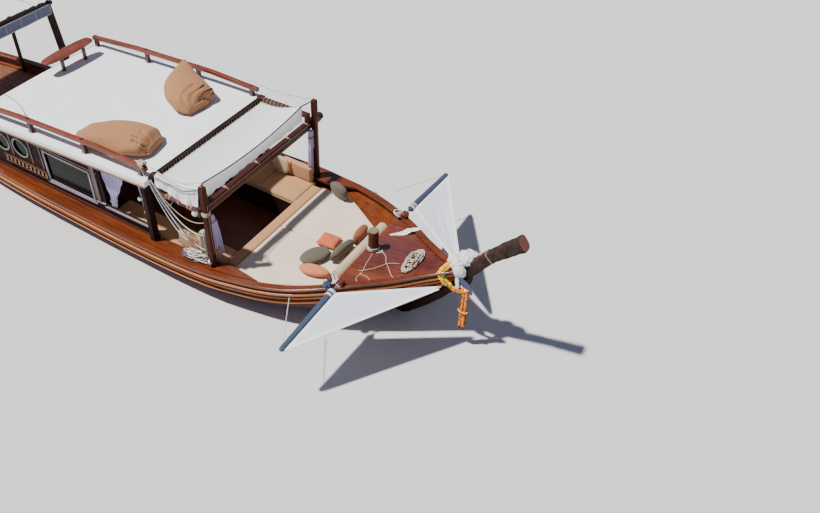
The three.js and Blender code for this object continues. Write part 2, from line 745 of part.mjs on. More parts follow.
function addRails() {
  const y0 = RAIL_Y - RAIL_WIDE / 2;
  const y1 = RAIL_Y + RAIL_WIDE / 2;
  const rail = loft(RAIL_ROWS.map(([x, high]) => {
    const top = roofEdge(x) + high;
    return [[x, y0, top - RAIL_DEEP], [x, y1, top - RAIL_DEEP], [x, y1, top], [x, y0, top]];
  }));
  const foot = crownAt(y0) + GAP;
  const posts = STANCHIONS_X.map(x => (
    slopedBar(x - STANCHION_HALF, x + STANCHION_HALF, y0 + 4, y1 - 4, foot, railTop(x) - RAIL_DEEP / 2)));
  addPair('roof_rail', join(rail, ...posts), 'darkwood');
}

// Bench of one broad plank with rounded ends, across the roof's aft end
const PLANK_SEAT = { x: -2500, y: 650, half: 660, wide: 330, thick: 42, high: 385, end: 90 };
const SEAT_LEGS = { x: -2410, y: 690, apart: 300, half: 34 };

function addRoofBench() {
  const { x, y, half, wide, thick, high, end } = PLANK_SEAT;
  const legs = SEAT_LEGS;
  const top = roofEdge(x) + high;
  const shape = new THREE.Shape();
  shape.moveTo(x - wide / 2 + 40, y - half + end);
  shape.quadraticCurveTo(x, y - half - end, x + wide / 2 - 40, y - half + end);
  shape.quadraticCurveTo(x + wide / 2 + 40, y, x + wide / 2 - 40, y + half - end);
  shape.quadraticCurveTo(x, y + half + end, x - wide / 2 + 40, y + half - end);
  shape.quadraticCurveTo(x - wide / 2 - 40, y, x - wide / 2 + 40, y - half + end);
  const board = new THREE.ExtrudeGeometry(shape, { depth: thick, bevelEnabled: false, curveSegments: 10 });
  board.translate(0, 0, top - thick);
  const posts = [-legs.apart, legs.apart].map(dy => {
    const py = legs.y + dy;
    const foot = roofEdge(legs.x + legs.half) + crownAt(Math.max(Math.abs(py) - legs.half, 0)) + GAP;
    return box(legs.x - legs.half, legs.x + legs.half, py - legs.half, py + legs.half, foot, top - thick / 2);
  });
  addPiece('roof_bench', join(board, ...posts), 'darkwood');
}

// Beanbags lie on the roof. A row along each, from its broad end to its tip: x, y, half-width, height and
// how far its underside is above the roof
const BEANBAGS = {
  beanbag_port: [
    [1270, 570, 260, 180, 0], [1120, 600, 430, 340, 0], [720, 830, 460, 410, 0],
    [470, 1020, 370, 430, 20], [290, 1260, 200, 400, 90], [200, 1390, 60, 330, 190],
  ],
  beanbag_starboard: [
    [1490, -900, 260, 190, 0], [1350, -930, 390, 350, 0], [950, -1040, 440, 400, 0],
    [500, -1150, 380, 400, 0], [120, -1250, 260, 310, 0], [-110, -1330, 110, 170, 0],
  ],
};
const BAG_SIDES = 12;

function bagRings(rows) {
  const head = rows[0];
  const tip = rows[rows.length - 1];
  const angle = Math.atan2(tip[1] - head[1], tip[0] - head[0]);
  const lift = (x, y) => roofEdge(x) + crownAt(y) + 2 * GAP;
  return rows.map(([x, y, half, high, up]) => Array.from({ length: BAG_SIDES }, (unused, i) => {
    const a = (2 * Math.PI * i) / BAG_SIDES;
    const across = half * Math.sign(Math.cos(a)) * Math.abs(Math.cos(a)) ** 0.8;
    const level = (1 + Math.sign(Math.sin(a)) * Math.abs(Math.sin(a)) ** 0.8) / 2;
    const px = x - across * Math.sin(angle);
    const py = y + across * Math.cos(angle);
    return [px, py, lift(px, y) + up + (high - up) * level];
  }));
}

function addBeanbags() {
  Object.entries(BEANBAGS).forEach(([name, rows]) => {
    addPiece(name, loft(bagRings(rows)), 'beanbag');
  });
}

// Front awning: posts, a frame of beams and the laced cloth
function slantedBar(x0, z0, x1, z1, y0, y1, deep) {
  return sidePlate([[x0, z0 - deep / 2], [x1, z1 - deep / 2], [x1, z1 + deep / 2], [x0, z0 + deep / 2]], y0, y1);
}

function awningFrame() {
  const fore = FRONT_POST_X - POST_WIDE / 2 - GAP;
  const aft = fore - BEAM_THICK;
  const header = ROOF_FORE_X + GAP;
  const top = roofEdge(ROOF_FORE_X) + HEADER_PROUD;
  const [z0, z1] = SIDE_BEAM_Z;
  const side = sign => {
    const ends = [sign * AWNING_HALF + sign * 8, sign * (AWNING_HALF + 8 + SIDE_BEAM_WIDE)].sort((a, b) => a - b);
    return join(
      slantedBar(header, z0, fore, z1, ...ends, SIDE_BEAM_DEEP),
      box(fore - STRUT_LONG, fore, ...ends, BEAM_Z + BEAM_HALF - 10, z1),
    );
  };
  return join(
    box(aft, fore, ...BEAM_ENDS, BEAM_Z - BEAM_HALF, BEAM_Z + BEAM_HALF),
    box(header, header + HEADER_WIDE, -HEADER_HALF, HEADER_HALF, top - HEADER_DEEP, top),
    side(1), side(-1),
  );
}

// Awning cloth at one y: over the top from the header to the hem rope, then the skirt down to the beam
function awningRing(y, aft, fore) {
  const foreZ = AWNING_FORE_Z - AWNING_FORE_DIP * (1 - (y / AWNING_HALF) ** 2);
  const line = [0, 0.3, 0.6, 0.85, 1].map(t => [
    aft + (fore - aft) * t,
    AWNING_AFT_Z + (foreZ - AWNING_AFT_Z) * t ** 1.6 - AWNING_SAG * Math.sin(Math.PI * t),
  ]);
  const under = line.slice(0, -1).map(([x, z]) => [x, z - AWNING_THICK]).reverse();
  const skirt = [
    [fore, SKIRT_LOW_Z], [fore - AWNING_THICK, SKIRT_LOW_Z], [fore - AWNING_THICK, foreZ - 2 * AWNING_THICK],
  ];
  return [...line, ...skirt, ...under].map(([x, z]) => [x, y, z]);
}

function addAwning() {
  const half = POST_WIDE / 2;
  const x0 = FRONT_POST_X - half;
  const x1 = FRONT_POST_X + half;
  const foot = x => hullAt(x).sheer + CAP_HIGH + GAP;
  const outline = [[x0, foot(x0)], [x1, foot(x1)], [x1, POST_TOP_Z], [x0, POST_TOP_Z]];
  addPair('front_post', sidePlate(outline, POST_Y - half, POST_Y + half), 'darkwood');
  addPiece('awning_beam', awningFrame(), 'darkwood');
  const fore = x0 - BEAM_THICK - 2 * GAP;
  const aft = ROOF_FORE_X + HEADER_WIDE + 2 * GAP;
  const rings = AWNING_STATIONS.map(y => awningRing(y, aft, fore));
  addPiece('awning_cloth', loft(rings, [0, 2]), 'canvas');
}

// Aft canopy
function addCanopy() {
  const post = (x, y) => {
    const deck = px => hullAt(px).sheer - AFT_DECK_DROP + 2 * GAP;
    const ring = (cx, cy, height) => [[-1, -1], [1, -1], [1, 1], [-1, 1]].map(([a, b]) => {
      const px = cx + (a * CANOPY_POST) / 2;
      return [px, cy + (b * CANOPY_POST) / 2, height(px)];
    });
    const head = Math.sign(y) * CANOPY_RIM_Y;
    return loft([ring(x, y, deck), ring(x + CANOPY_RAKE, head, () => CANOPY_Z - CANOPY_RIM / 2)], [0, 1]);
  };
  const posts = CANOPY_POSTS.flatMap(([x, y]) => [post(x, y), post(x, -y)]);
  const across = x => box(x, x + CANOPY_RIM, -CANOPY_HALF, CANOPY_HALF, CANOPY_Z - CANOPY_RIM, CANOPY_Z);
  const along = side => box(CANOPY_AFT_X + 10, CANOPY_FORE_X + 60, side * CANOPY_RIM_Y - 35,
    side * CANOPY_RIM_Y + 35, CANOPY_Z - CANOPY_RIM + 6, CANOPY_Z - 6);
  const last = CANOPY_POSTS[CANOPY_POSTS.length - 1];
  const rim = [
    across(CANOPY_AFT_X), across(CANOPY_FORE_X - CANOPY_RIM), across(last[0] + CANOPY_RAKE - 40),
    along(1), along(-1),
  ];
  addPiece('canopy_frame', join(...rim, ...posts), 'darkwood');
  const ring = x => [
    [x, -CANOPY_HALF, CANOPY_Z + GAP], [x, CANOPY_HALF, CANOPY_Z + GAP], [x, CANOPY_HALF, CANOPY_Z + 30],
    [x, 700, CANOPY_Z + 75], [x, 0, CANOPY_Z + 90], [x, -700, CANOPY_Z + 75], [x, -CANOPY_HALF, CANOPY_Z + 30],
  ];
  addPiece('canopy_cloth', loft([ring(CANOPY_AFT_X - 60), ring(CANOPY_FORE_X + 40)]), 'canvas');
}

// Foredeck fittings
function samsonBar(foot, radius) {
  return bar([SAMSON_X, SAMSON_Y, foot], [SAMSON_X, SAMSON_Y, SAMSON_TOP_Z], radius, 16);
}

function addSamsonPost() {
  addPiece('samson_post', samsonBar(SAMSON_FOOT_Z, SAMSON_R), 'weathered');
}

// Wings: a boom with its net, hinged about the line from the boom's heel to the net's bow corner
const toVector = p => new THREE.Vector3(...p);

function boomGeometry() {
  const heel = toVector(BOOM_PIVOT);
  const tip = toVector(BOOM_TIP);
  const length = heel.distanceTo(tip);
  // distance from the pivot, half-width, half-height
  const rows = [
    [18.6, 17, 17], [110, BOOM_HALF, 45], [length - 40, BOOM_TIP_HALF, 36], [length, 30, 26],
  ];
  const along = tip.clone().sub(heel).normalize();
  const across = new THREE.Vector3(1, 0, 0).addScaledVector(along, -along.x).normalize();
  const up = new THREE.Vector3().crossVectors(across, along);
  const rings = rows.map(([d, w, h]) => [[-1, -1], [1, -1], [1, 1], [-1, 1]].map(([a, b]) => (
    heel.clone().addScaledVector(along, d).addScaledVector(across, a * w).addScaledVector(up, b * h).toArray())));
  return loft(rings, [0, 2]);
}

function netGeometry() {
  const heel = toVector(BOOM_PIVOT);
  const tip = toVector(BOOM_TIP);
  const bow = toVector(NET_BOW);
  const along = tip.clone().sub(heel).normalize();
  const hinge = bow.clone().sub(heel).normalize();
  const normal = new THREE.Vector3().crossVectors(hinge, along).normalize();
  const forward = new THREE.Vector3().crossVectors(along, normal).normalize();
  const outward = new THREE.Vector3().crossVectors(normal, hinge).normalize();
  const length = heel.distanceTo(tip);
  const boomHalf = d => BOOM_HALF + ((BOOM_TIP_HALF - BOOM_HALF) * (d - 110)) / (length - 150);
  const boomEdge = d => heel.clone().addScaledVector(along, d).addScaledVector(forward, boomHalf(d) + 2 * GAP);
  const inner = boomEdge(150);
  const outer = boomEdge(length - 50);
  const corner = bow.clone().addScaledVector(hinge, -40).addScaledVector(outward, NET_EDGE);
  const innerSide = heel.clone().addScaledVector(hinge, 150).addScaledVector(outward, NET_EDGE);
  const cornerOut = corner.clone().addScaledVector(outward, 30);
  const side = [inner, outer, cornerOut, corner, innerSide];
  const face = offset => side.map(p => p.clone().addScaledVector(normal, offset).toArray());
  return loft([face(-NET_THICK / 2), face(NET_THICK / 2)], [0, 1]);
}

function addWings() {
  addPair('boom', boomGeometry(), 'boom');
  addPair('net', netGeometry(), 'canvas');
}

// Ropes and garland
function addRopes() {
  const oval = (wide, long) => new THREE.EllipseCurve(0, 0, wide, long).getPoints(24).slice(0, 24);
  const shape = new THREE.Shape(oval(COIL.wide, COIL.long));
  shape.holes.push(new THREE.Path(oval(COIL.holeWide, COIL.holeLong)));
  const coil = new THREE.ExtrudeGeometry(shape, { depth: COIL.high, bevelEnabled: false });
  const low = foredeckTop(COIL.x - COIL.wide, 0);
  const high = foredeckTop(COIL.x + COIL.wide, 0);
  const mesh = addPiece('rope_coil', coil, 'rope');
  mesh.position.set(COIL.x, COIL.y, (low + high) / 2 + GAP);
  mesh.rotation.y = -Math.atan((high - low) / (2 * COIL.wide));
  const fore = FRONT_POST_X - POST_WIDE / 2 - GAP;
  const hank = softBox(fore - HANK.long, fore, HANK.y0, HANK.y1, HANK.z0, HANK.z1, HANK.edge);
  addPiece('rope_hank', hank, 'rope');
}

// The stem's outline between two of its rings, grown on every side
function stemSlice(row, t, grow) {
  const [x0, z0, x1, z1, half] = STEM_RINGS[row].map((a, k) => a + (STEM_RINGS[row + 1][k] - a) * t);
  const deep = Math.hypot(x1 - x0, z1 - z0);
  const dx = ((x1 - x0) / deep) * grow;
  const dz = ((z1 - z0) / deep) * grow;
  return stemRing([x0 - dx, z0 - dz, x1 + dx, z1 + dz, half + grow]);
}

function addGarland() {
  const strands = STRANDS.map(([x, y]) => bar([x, y, STRAND_Z[1]], [x, y, STRAND_Z[0]], STRAND_R, 8));
  const outer = loft([[1, 0.5], [2, 0], [2, 0.3]].map(([row, t]) => stemSlice(row, t, COLLAR_PROUD)));
  const inner = loft([[1, 0.4], [2, 0], [2, 0.4]].map(([row, t]) => stemSlice(row, t, COLLAR_CLEAR)));
  const collar = cut(outer, inner);
  const link = bar(STRAND_LINK.from, STRAND_LINK.to, STRAND_LINK.r, 8);
  addPiece('stem_garland', join(collar, link, ...strands), 'flower');
}

// Engine, in a group whose own X runs up the shaft and whose origin is the tilt axis. Boxes are x, y and z ranges
const ENGINE_BOXES = {
  block: [240, 1100, -175, 175, 31, 300],
  head: [300, 1060, -125, 125, 290, 490],
  cover: [330, 1030, -85, 85, 480, 545],
  intake: [380, 980, 120, 200, 330, 420],
  radiator: [1165, 1225, -230, 230, 31, 500],
  pump: [1090, 1180, -60, 60, 60, 250],
};
const BELL = { aft: 122, fore: 250, aftRadius: 100, foreRadius: 117 };
const FAN_HUB = { aft: 1090, fore: 1130, radius: 90 };
const CYLINDERS_X = [420, 580, 740, 900];
const EXHAUST = { y: -205, z: 400, radius: 34, stub: 24, top: 860 };
const ALTERNATOR = { aft: 860, fore: 1060, y: 232, z: 190, radius: 62 };
const OIL_FILTER = { x: 560, out: -250, z: 150, radius: 45 };
const FILLER = { x: 440, radius: 26, top: 575 };
const RAIL = { aft: -420, fore: 1290, y: 150, half: 22, deep: 30 };
const CROSSES_X = [-400, 640, 1270];
const TRUNNION = { half: 187.5, radius: 30 };
const HANDLE = { long: 780, drop: 100, radius: 22 };
const STAY_FOOT = { fore: -380, half: 60, top: 92 };

function engineBlock() {
  const { y, z, radius, stub, top } = EXHAUST;
  const last = CYLINDERS_X[CYLINDERS_X.length - 1];
  const gas = CYLINDERS_X.map(x => bar([x, -120, z], [x, y, z], stub, 10));
  const air = CYLINDERS_X.map(x => bar([x, 100, z - 25], [x, 150, z - 25], stub, 10));
  return join(
    ...Object.values(ENGINE_BOXES).map(sizes => box(...sizes)),
    bar([BELL.aft, 0, SHAFT_UP], [BELL.fore, 0, SHAFT_UP], BELL.aftRadius, 20, BELL.foreRadius),
    bar([FAN_HUB.aft, 0, SHAFT_UP], [FAN_HUB.fore, 0, SHAFT_UP], FAN_HUB.radius, 20),
    ...gas, ...air,
    bar([CYLINDERS_X[0] - radius, y, z], [last, y, z], radius), bar([last, y, z - radius], [last, y, top], radius),
    bar([ALTERNATOR.aft, ALTERNATOR.y, ALTERNATOR.z], [ALTERNATOR.fore, ALTERNATOR.y, ALTERNATOR.z],
      ALTERNATOR.radius, 14),
    bar([OIL_FILTER.x, -170, OIL_FILTER.z], [OIL_FILTER.x, OIL_FILTER.out, OIL_FILTER.z], OIL_FILTER.radius, 14),
    bar([FILLER.x, 0, 540], [FILLER.x, 0, FILLER.top], FILLER.radius, 12),
  );
}

function engineFrame() {
  const { aft, fore, y, half, deep } = RAIL;
  const rails = [-1, 1].map(side => box(aft, fore, side * y - half, side * y + half, -deep, deep));
  const crosses = CROSSES_X.map(x => box(x - half, x + half, -y, y, -deep, deep));
  const trunnion = bar([0, -TRUNNION.half, 0], [0, TRUNNION.half, 0], TRUNNION.radius, 16);
  const start = CROSSES_X[CROSSES_X.length - 1];
  const handle = bar([start, 0, 0], [start + HANDLE.long, 0, -HANDLE.drop], HANDLE.radius, 10);
  const foot = box(aft, STAY_FOOT.fore, -STAY_FOOT.half, STAY_FOOT.half, -deep, STAY_FOOT.top);
  return join(...rails, ...crosses, trunnion, handle, foot);
}

const SLEEVE = { fore: 121.5, aft: -400, radius: 56 };
const TUBE_RADIUS = 38;
const FIN = { ahead: 120, behind: 60, chord: 40, low: -120, half: 6 };

function tailTube() {
  const end = -SHAFT_LONG;
  return join(
    bar([SLEEVE.fore, 0, SHAFT_UP], [SLEEVE.aft, 0, SHAFT_UP], SLEEVE.radius, 16),
    bar([SLEEVE.aft + 10, 0, SHAFT_UP], [end, 0, SHAFT_UP], TUBE_RADIUS, 16),
    sidePlate([
      [end + FIN.ahead, SHAFT_UP - 20], [end + FIN.chord - FIN.behind, FIN.low], [end - FIN.behind, FIN.low],
      [end + 10, SHAFT_UP - 20],
    ], -FIN.half, FIN.half),
  );
}

const PROP = { centre: 70, hubEnd: 150, hubRadius: 42, noseRadius: 24, thick: 10, pitch: 0.6, turns: [0, 120, 240] };

function propeller() {
  const hub = bar([-SHAFT_LONG - 2 * GAP, 0, 0], [-SHAFT_LONG - PROP.hubEnd, 0, 0], PROP.hubRadius, 16,
    PROP.noseRadius);
  const blade = new THREE.Shape();
  blade.moveTo(-28, 20);
  blade.quadraticCurveTo(-90, 120, -20, 205);
  blade.quadraticCurveTo(70, 150, 34, 20);
  const blades = PROP.turns.map(turn => {
    const geometry = new THREE.ExtrudeGeometry(blade, { depth: PROP.thick, bevelEnabled: false, curveSegments: 5 });
    geometry.translate(0, 0, -PROP.thick / 2).rotateX(Math.PI / 2).rotateZ(PROP.pitch);
    return geometry.translate(-SHAFT_LONG - PROP.centre, 0, 0).rotateX(THREE.MathUtils.degToRad(turn));
  });
  return join(hub, ...blades).translate(0, 0, SHAFT_UP);
}

// Post on the aft deck, and the yoke that turns on it
const ENGINE_POST = { half: 120, wide: 150, top: 1130 };
const YOKE = { radius: 95, plate: 90, plateHalf: 212, low: 1170, high: 1206, cheek: 50, cheekY: 200, cheekHalf: 12 };

function addEngine() {
  const [x, , z] = ENGINE_PIVOT;
  const deck = at => hullAt(at).sheer - AFT_DECK_DROP + GAP;
  const [x0, x1] = [x - ENGINE_POST.half, x + ENGINE_POST.half];
  const outline = [[x0, deck(x0)], [x1, deck(x1)], [x1, ENGINE_POST.top], [x0, ENGINE_POST.top]];
  addPiece('engine_post', sidePlate(outline, -ENGINE_POST.wide, ENGINE_POST.wide), 'darkwood');
  const cheek = side => box(x - YOKE.cheek, x + YOKE.cheek, side * YOKE.cheekY - YOKE.cheekHalf,
    side * YOKE.cheekY + YOKE.cheekHalf, YOKE.high - 11, z + YOKE.cheek);
  const yoke = join(
    bar([x, 0, ENGINE_POST.top + 0.5], [x, 0, YOKE.low + 10], YOKE.radius, 24),
    box(x - YOKE.plate, x + YOKE.plate, -YOKE.plateHalf, YOKE.plateHalf, YOKE.low, YOKE.high),
    cheek(1), cheek(-1),
  );
  addPiece('swivel_yoke', yoke, 'steel');
  const tail = new THREE.Group();
  tail.position.set(x, 0, z);
  tail.rotation.y = -THREE.MathUtils.degToRad(SHAFT_ANGLE);
  boat.add(tail);
  addPiece('engine_frame', engineFrame(), 'steel', tail);
  addPiece('engine_block', engineBlock(), 'engine', tail);
  addPiece('tail_tube', tailTube(), 'steel', tail);
  addPiece('propeller', propeller(), 'bronze', tail);
}

addHull();
addStem();
addGunwales();
addDecks();
addSeats();
addSunpad();
addPillows();
addCabin();
addRoof();
addRails();
addRoofBench();
addBeanbags();
addAwning();
addCanopy();
addSamsonPost();
addWings();
addRopes();
addGarland();
addEngine();

export default boat;
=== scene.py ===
# Looks of a Thai longtail boat: varnished hull, net wings, laced awning, roof deck and soft goods.
# Metres, +X to the bow, +Y to port, +Z up, origin at the waterline amidships.
import random
from itertools import accumulate
from math import atan2, copysign, cos, exp, hypot, pi, radians, sin, sqrt, tau

import bpy
import bmesh
from mathutils import Matrix, Vector


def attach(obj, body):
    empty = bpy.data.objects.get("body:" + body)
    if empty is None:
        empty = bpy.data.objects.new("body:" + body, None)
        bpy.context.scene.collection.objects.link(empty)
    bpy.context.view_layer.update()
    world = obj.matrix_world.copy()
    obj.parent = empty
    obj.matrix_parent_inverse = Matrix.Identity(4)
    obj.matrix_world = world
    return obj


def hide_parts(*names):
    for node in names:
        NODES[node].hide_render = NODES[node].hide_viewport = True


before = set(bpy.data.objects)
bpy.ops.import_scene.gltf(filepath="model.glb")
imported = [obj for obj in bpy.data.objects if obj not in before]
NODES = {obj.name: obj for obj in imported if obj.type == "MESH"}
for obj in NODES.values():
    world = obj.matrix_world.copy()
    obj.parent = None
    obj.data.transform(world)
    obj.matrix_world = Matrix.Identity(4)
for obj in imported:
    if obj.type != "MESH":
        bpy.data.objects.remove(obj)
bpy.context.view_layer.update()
UP = Vector((0, 0, 1))
SIDES = (("port", 1), ("starboard", -1))


# Camera at the photograph's view: turn, tilt and roll in degrees, then place, film width and lens
VIEW_ANGLES = -28.2904, 43.2809, -3.5080
VIEW_PLACE = 11.78643, -9.73815, 11.86094
FILM_WIDE, LENS, VIEW_FAR = 36, 36.853, 200


def add_camera():
    az, el, roll = (radians(a) for a in VIEW_ANGLES)
    ahead = Vector((sin(az) * cos(el), cos(az) * cos(el), -sin(el)))
    level = Vector((cos(az), -sin(az), 0))
    down = ahead.cross(level)
    right = level * cos(roll) + down * sin(roll)
    below = down * cos(roll) - level * sin(roll)
    turn = Matrix((right, -below, -ahead)).transposed().to_4x4()
    turn.translation = Vector(VIEW_PLACE)
    data = bpy.data.cameras.new("photo_view")
    data.sensor_width = FILM_WIDE
    data.lens = LENS
    data.clip_end = VIEW_FAR
    camera = bpy.data.objects.new("photo_view", data)
    camera.matrix_world = turn
    bpy.context.scene.collection.objects.link(camera)
    bpy.context.scene.camera = camera


add_camera()


# Shader building blocks
def new_material(name):
    mat = bpy.data.materials.new(name)
    mat.use_nodes = True
    tree = mat.node_tree
    return mat, tree, tree.nodes["Principled BSDF"]


def feed(tree, socket, value):
    """Links a socket to an input, or sets the input to a value."""
    if isinstance(value, bpy.types.NodeSocket):
        tree.links.new(value, socket)
    else:
        socket.default_value = value


def add_node(tree, kind, values=(), **settings):
    node = tree.nodes.new(kind)
    for key, value in settings.items():
        setattr(node, key, value)
    for key, value in dict(values).items():
        feed(tree, node.inputs[key], value)
    return node


def coords(tree, scale=(1, 1, 1), turn=(0, 0, 0), source="Object"):
    texture = add_node(tree, "ShaderNodeTexCoord")
    return add_node(tree, "ShaderNodeMapping", {"Scale": scale, "Rotation": turn,
                                                "Vector": texture.outputs[source]}).outputs["Vector"]


def noise_of(tree, vector, scale, detail=4, rough=0.55, warp=0.0):
    return add_node(tree, "ShaderNodeTexNoise", {"Scale": scale, "Detail": detail, "Roughness": rough,
                                                 "Distortion": warp, "Vector": vector}).outputs["Fac"]


def ramp_of(tree, value, stops):
    node = add_node(tree, "ShaderNodeValToRGB", {"Fac": value})
    while len(node.color_ramp.elements) < len(stops):
        node.color_ramp.elements.new(0.5)
    for element, (place, colour) in zip(node.color_ramp.elements, stops):
        element.position = place
        element.color = (*colour, 1)
    return node.outputs["Color"]


def spread(tree, value, low, high, from_low=0.3, from_high=0.7):
    return add_node(tree, "ShaderNodeMapRange", {"From Min": from_low, "From Max": from_high, "To Min": low,
                                                 "To Max": high, "Value": value}).outputs["Result"]


def math_of(tree, kind, a, b):
    return add_node(tree, "ShaderNodeMath", {0: a, 1: b}, operation=kind).outputs["Value"]


def vector_of(tree, kind, values):
    return add_node(tree, "ShaderNodeVectorMath", values, operation=kind).outputs


def scaled(tree, colour, value):
    """The colour times a number socket."""
    return vector_of(tree, "SCALE", {0: colour, "Scale": value})["Vector"]


def blended(tree, value, a, b):
    return add_node(tree, "ShaderNodeMix", {0: value, 6: a, 7: (*b, 1)}, data_type="RGBA").outputs[2]


def bands_of(tree, vector, scale, warp, way):
    return add_node(tree, "ShaderNodeTexWave", {"Scale": scale, "Distortion": warp, "Detail": 1,
                                                "Vector": vector},
                    wave_type="BANDS", bands_direction=way).outputs["Fac"]


def tint_of(tree, amount, base):
    """The piece's own tint, scaled and set round a base."""
    tint = add_node(tree, "ShaderNodeAttribute", attribute_name="tint").outputs["Fac"]
    return math_of(tree, "ADD", math_of(tree, "MULTIPLY", tint, amount), base)


def dressed(tree, shader, colour, layers, values):
    """Sets the shader's inputs, with bump layers in a chain: height socket, strength, distance."""
    last = None
    for height, strength, distance in layers:
        node = add_node(tree, "ShaderNodeBump", {"Strength": strength, "Distance": distance, "Height": height})
        if last:
            tree.links.new(last, node.inputs["Normal"])
        last = node.outputs["Normal"]
    for name, value in {"Base Color": colour, "Normal": last, **values}.items():
        feed(tree, shader.inputs[name], value)


def srgb(r, g, b):
    """Linear colour from 0-255 numbers."""
    return tuple((c / 255 / 12.92) if c <= 10 else ((c / 255 + 0.055) / 1.055) ** 2.4 for c in (r, g, b))


def shade(colour, factor):
    return tuple(c * factor for c in colour)


GRAIN = {"x": (1, 14, 14), "y": (14, 1, 14), "z": (14, 14, 1)}
WORN_GREY = (0.23, 0.19, 0.16)


def wood(name, colour, grain="x", rough=0.3, coat=0.5, contrast=0.45, turn=(0, 0, 0), wear=0.0, bump=0.5,
         shine=0.3, patches=()):
    """Timber with long streaks, pores, slow colour drift and a varnish coat."""
    mat, tree, shader = new_material(name)
    vector = coords(tree, GRAIN[grain], turn)
    streaks = noise_of(tree, vector, 1.6, 6, 0.6, 0.8)
    pores = noise_of(tree, vector, 9.0, 3, 0.7)
    drift = noise_of(tree, coords(tree), 0.9, 3)
    dark, light = shade(colour, 1 - contrast), shade(colour, 1 + contrast)
    body = ramp_of(tree, streaks, [(0.3, dark), (0.5, colour), (0.72, light)])
    body = scaled(tree, body, tint_of(tree, 0.7, spread(tree, drift, 0.82, 1.18)))
    for centre, reach, look, amount in patches:
        # Soft-edged colour patches round a centre, broken up by the grain; on the foredeck they hold a painted
        # highlight and a painted shade
        place = vector_of(tree, "SUBTRACT", {0: coords(tree), 1: centre})["Vector"]
        size = vector_of(tree, "MULTIPLY", {0: place, 1: [1 / r for r in reach]})["Vector"]
        far = vector_of(tree, "LENGTH", {0: size})["Value"]
        broken = math_of(tree, "ADD", far, spread(tree, streaks, -0.35, 0.35))
        body = blended(tree, spread(tree, broken, amount, 0, 0.3, 1.1), body, look)
    if wear:
        worn = noise_of(tree, coords(tree), 3.5, 6, 0.7)
        body = blended(tree, spread(tree, worn, 0, wear, 0.45, 0.7), body, WORN_GREY)
    dressed(tree, shader, body, [(streaks, bump, 0.002), (pores, bump * 0.6, 0.0008)], {
        "Roughness": spread(tree, pores, rough * 0.75, min(rough * 1.5, 1)), "Specular IOR Level": shine,
        "Coat Weight": coat, "Coat Roughness": 0.12})
    return mat


def cloth(name, colour, threads=700, rough=0.9, wrinkle=0.5, sheen=0.3, fade=0.12, through=0.0):
    """Woven cloth: crossing threads, soft creases and faded patches."""
    mat, tree, shader = new_material(name)
    vector = coords(tree)
    x, y, z = (bands_of(tree, vector, threads / 6.28, 0.4, way) for way in "XYZ")
    weave = math_of(tree, "ADD", math_of(tree, "ADD", x, y), z)
    folds = noise_of(tree, vector, 5.0, 4, 0.5, 0.6)
    soft = noise_of(tree, vector, 1.3, 3)
    slub = noise_of(tree, vector, 160, 2)
    body = ramp_of(tree, soft, [(0.3, shade(colour, 1 - fade)), (0.7, shade(colour, 1 + fade))])
    body = scaled(tree, scaled(tree, body, spread(tree, slub, 0.93, 1.05)), tint_of(tree, 0.8, 1.0))
    values = {"Roughness": rough, "Sheen Weight": sheen, "Sheen Roughness": 0.5}
    if through:
        values.update({"Subsurface Weight": through, "Subsurface Radius": (1, 1, 1), "Subsurface Scale": 0.014})
    dressed(tree, shader, body, [(folds, wrinkle, 0.012), (weave, 0.25, 0.0004)], values)
    return mat


def paint(name, colour, rough=0.5, coat=0.2, grime=0.25, metal=0.0):
    """Paint over timber or metal, with brush drift, grime and small dents."""
    mat, tree, shader = new_material(name)
    vector = coords(tree)
    cloud = noise_of(tree, vector, 2.2, 5, 0.6)
    speck = noise_of(tree, vector, 45, 4, 0.7)
    body = ramp_of(tree, cloud, [(0.35, shade(colour, 1 - grime)), (0.65, colour)])
    body = scaled(tree, body, spread(tree, speck, 0.94, 1.03))
    dressed(tree, shader, body, [(cloud, 0.15, 0.01), (speck, 0.2, 0.0006)], {
        "Roughness": spread(tree, speck, rough * 0.8, min(rough * 1.25, 1)), "Metallic": metal,
        "Coat Weight": coat})
    return mat


def rope_material(name, colour):
    """Laid rope: strands wind round the tube by its own lengthwise and round coordinates."""
    mat, tree, shader = new_material(name)
    strands = bands_of(tree, coords(tree, source="UV"), 1.0, 0.3, "DIAGONAL")
    fuzz = noise_of(tree, coords(tree), 260, 3, 0.7)
    stain = noise_of(tree, coords(tree), 4, 4)
    # Darker in the grooves between the strands: painted shade
    body = ramp_of(tree, strands, [(0.05, shade(colour, 0.55)), (0.6, colour)])
    body = scaled(tree, body, spread(tree, stain, 0.8, 1.08))
    dressed(tree, shader, body, [(strands, 0.9, 0.003), (fuzz, 0.5, 0.001)], {"Roughness": 0.92})
    return mat


def glass(name, colour):
    mat, tree, shader = new_material(name)
    film = noise_of(tree, coords(tree), 6, 4)
    body = ramp_of(tree, film, [(0.3, shade(colour, 0.7)), (0.7, shade(colour, 1.3))])
    for key, value in {"Base Color": body, "Roughness": spread(tree, film, 0.048, 0.2),
                       "Specular IOR Level": 0.08,
                       "Coat Weight": 0.03, "Coat Roughness": 0.03}.items():
        feed(tree, shader.inputs[key], value)
    return mat


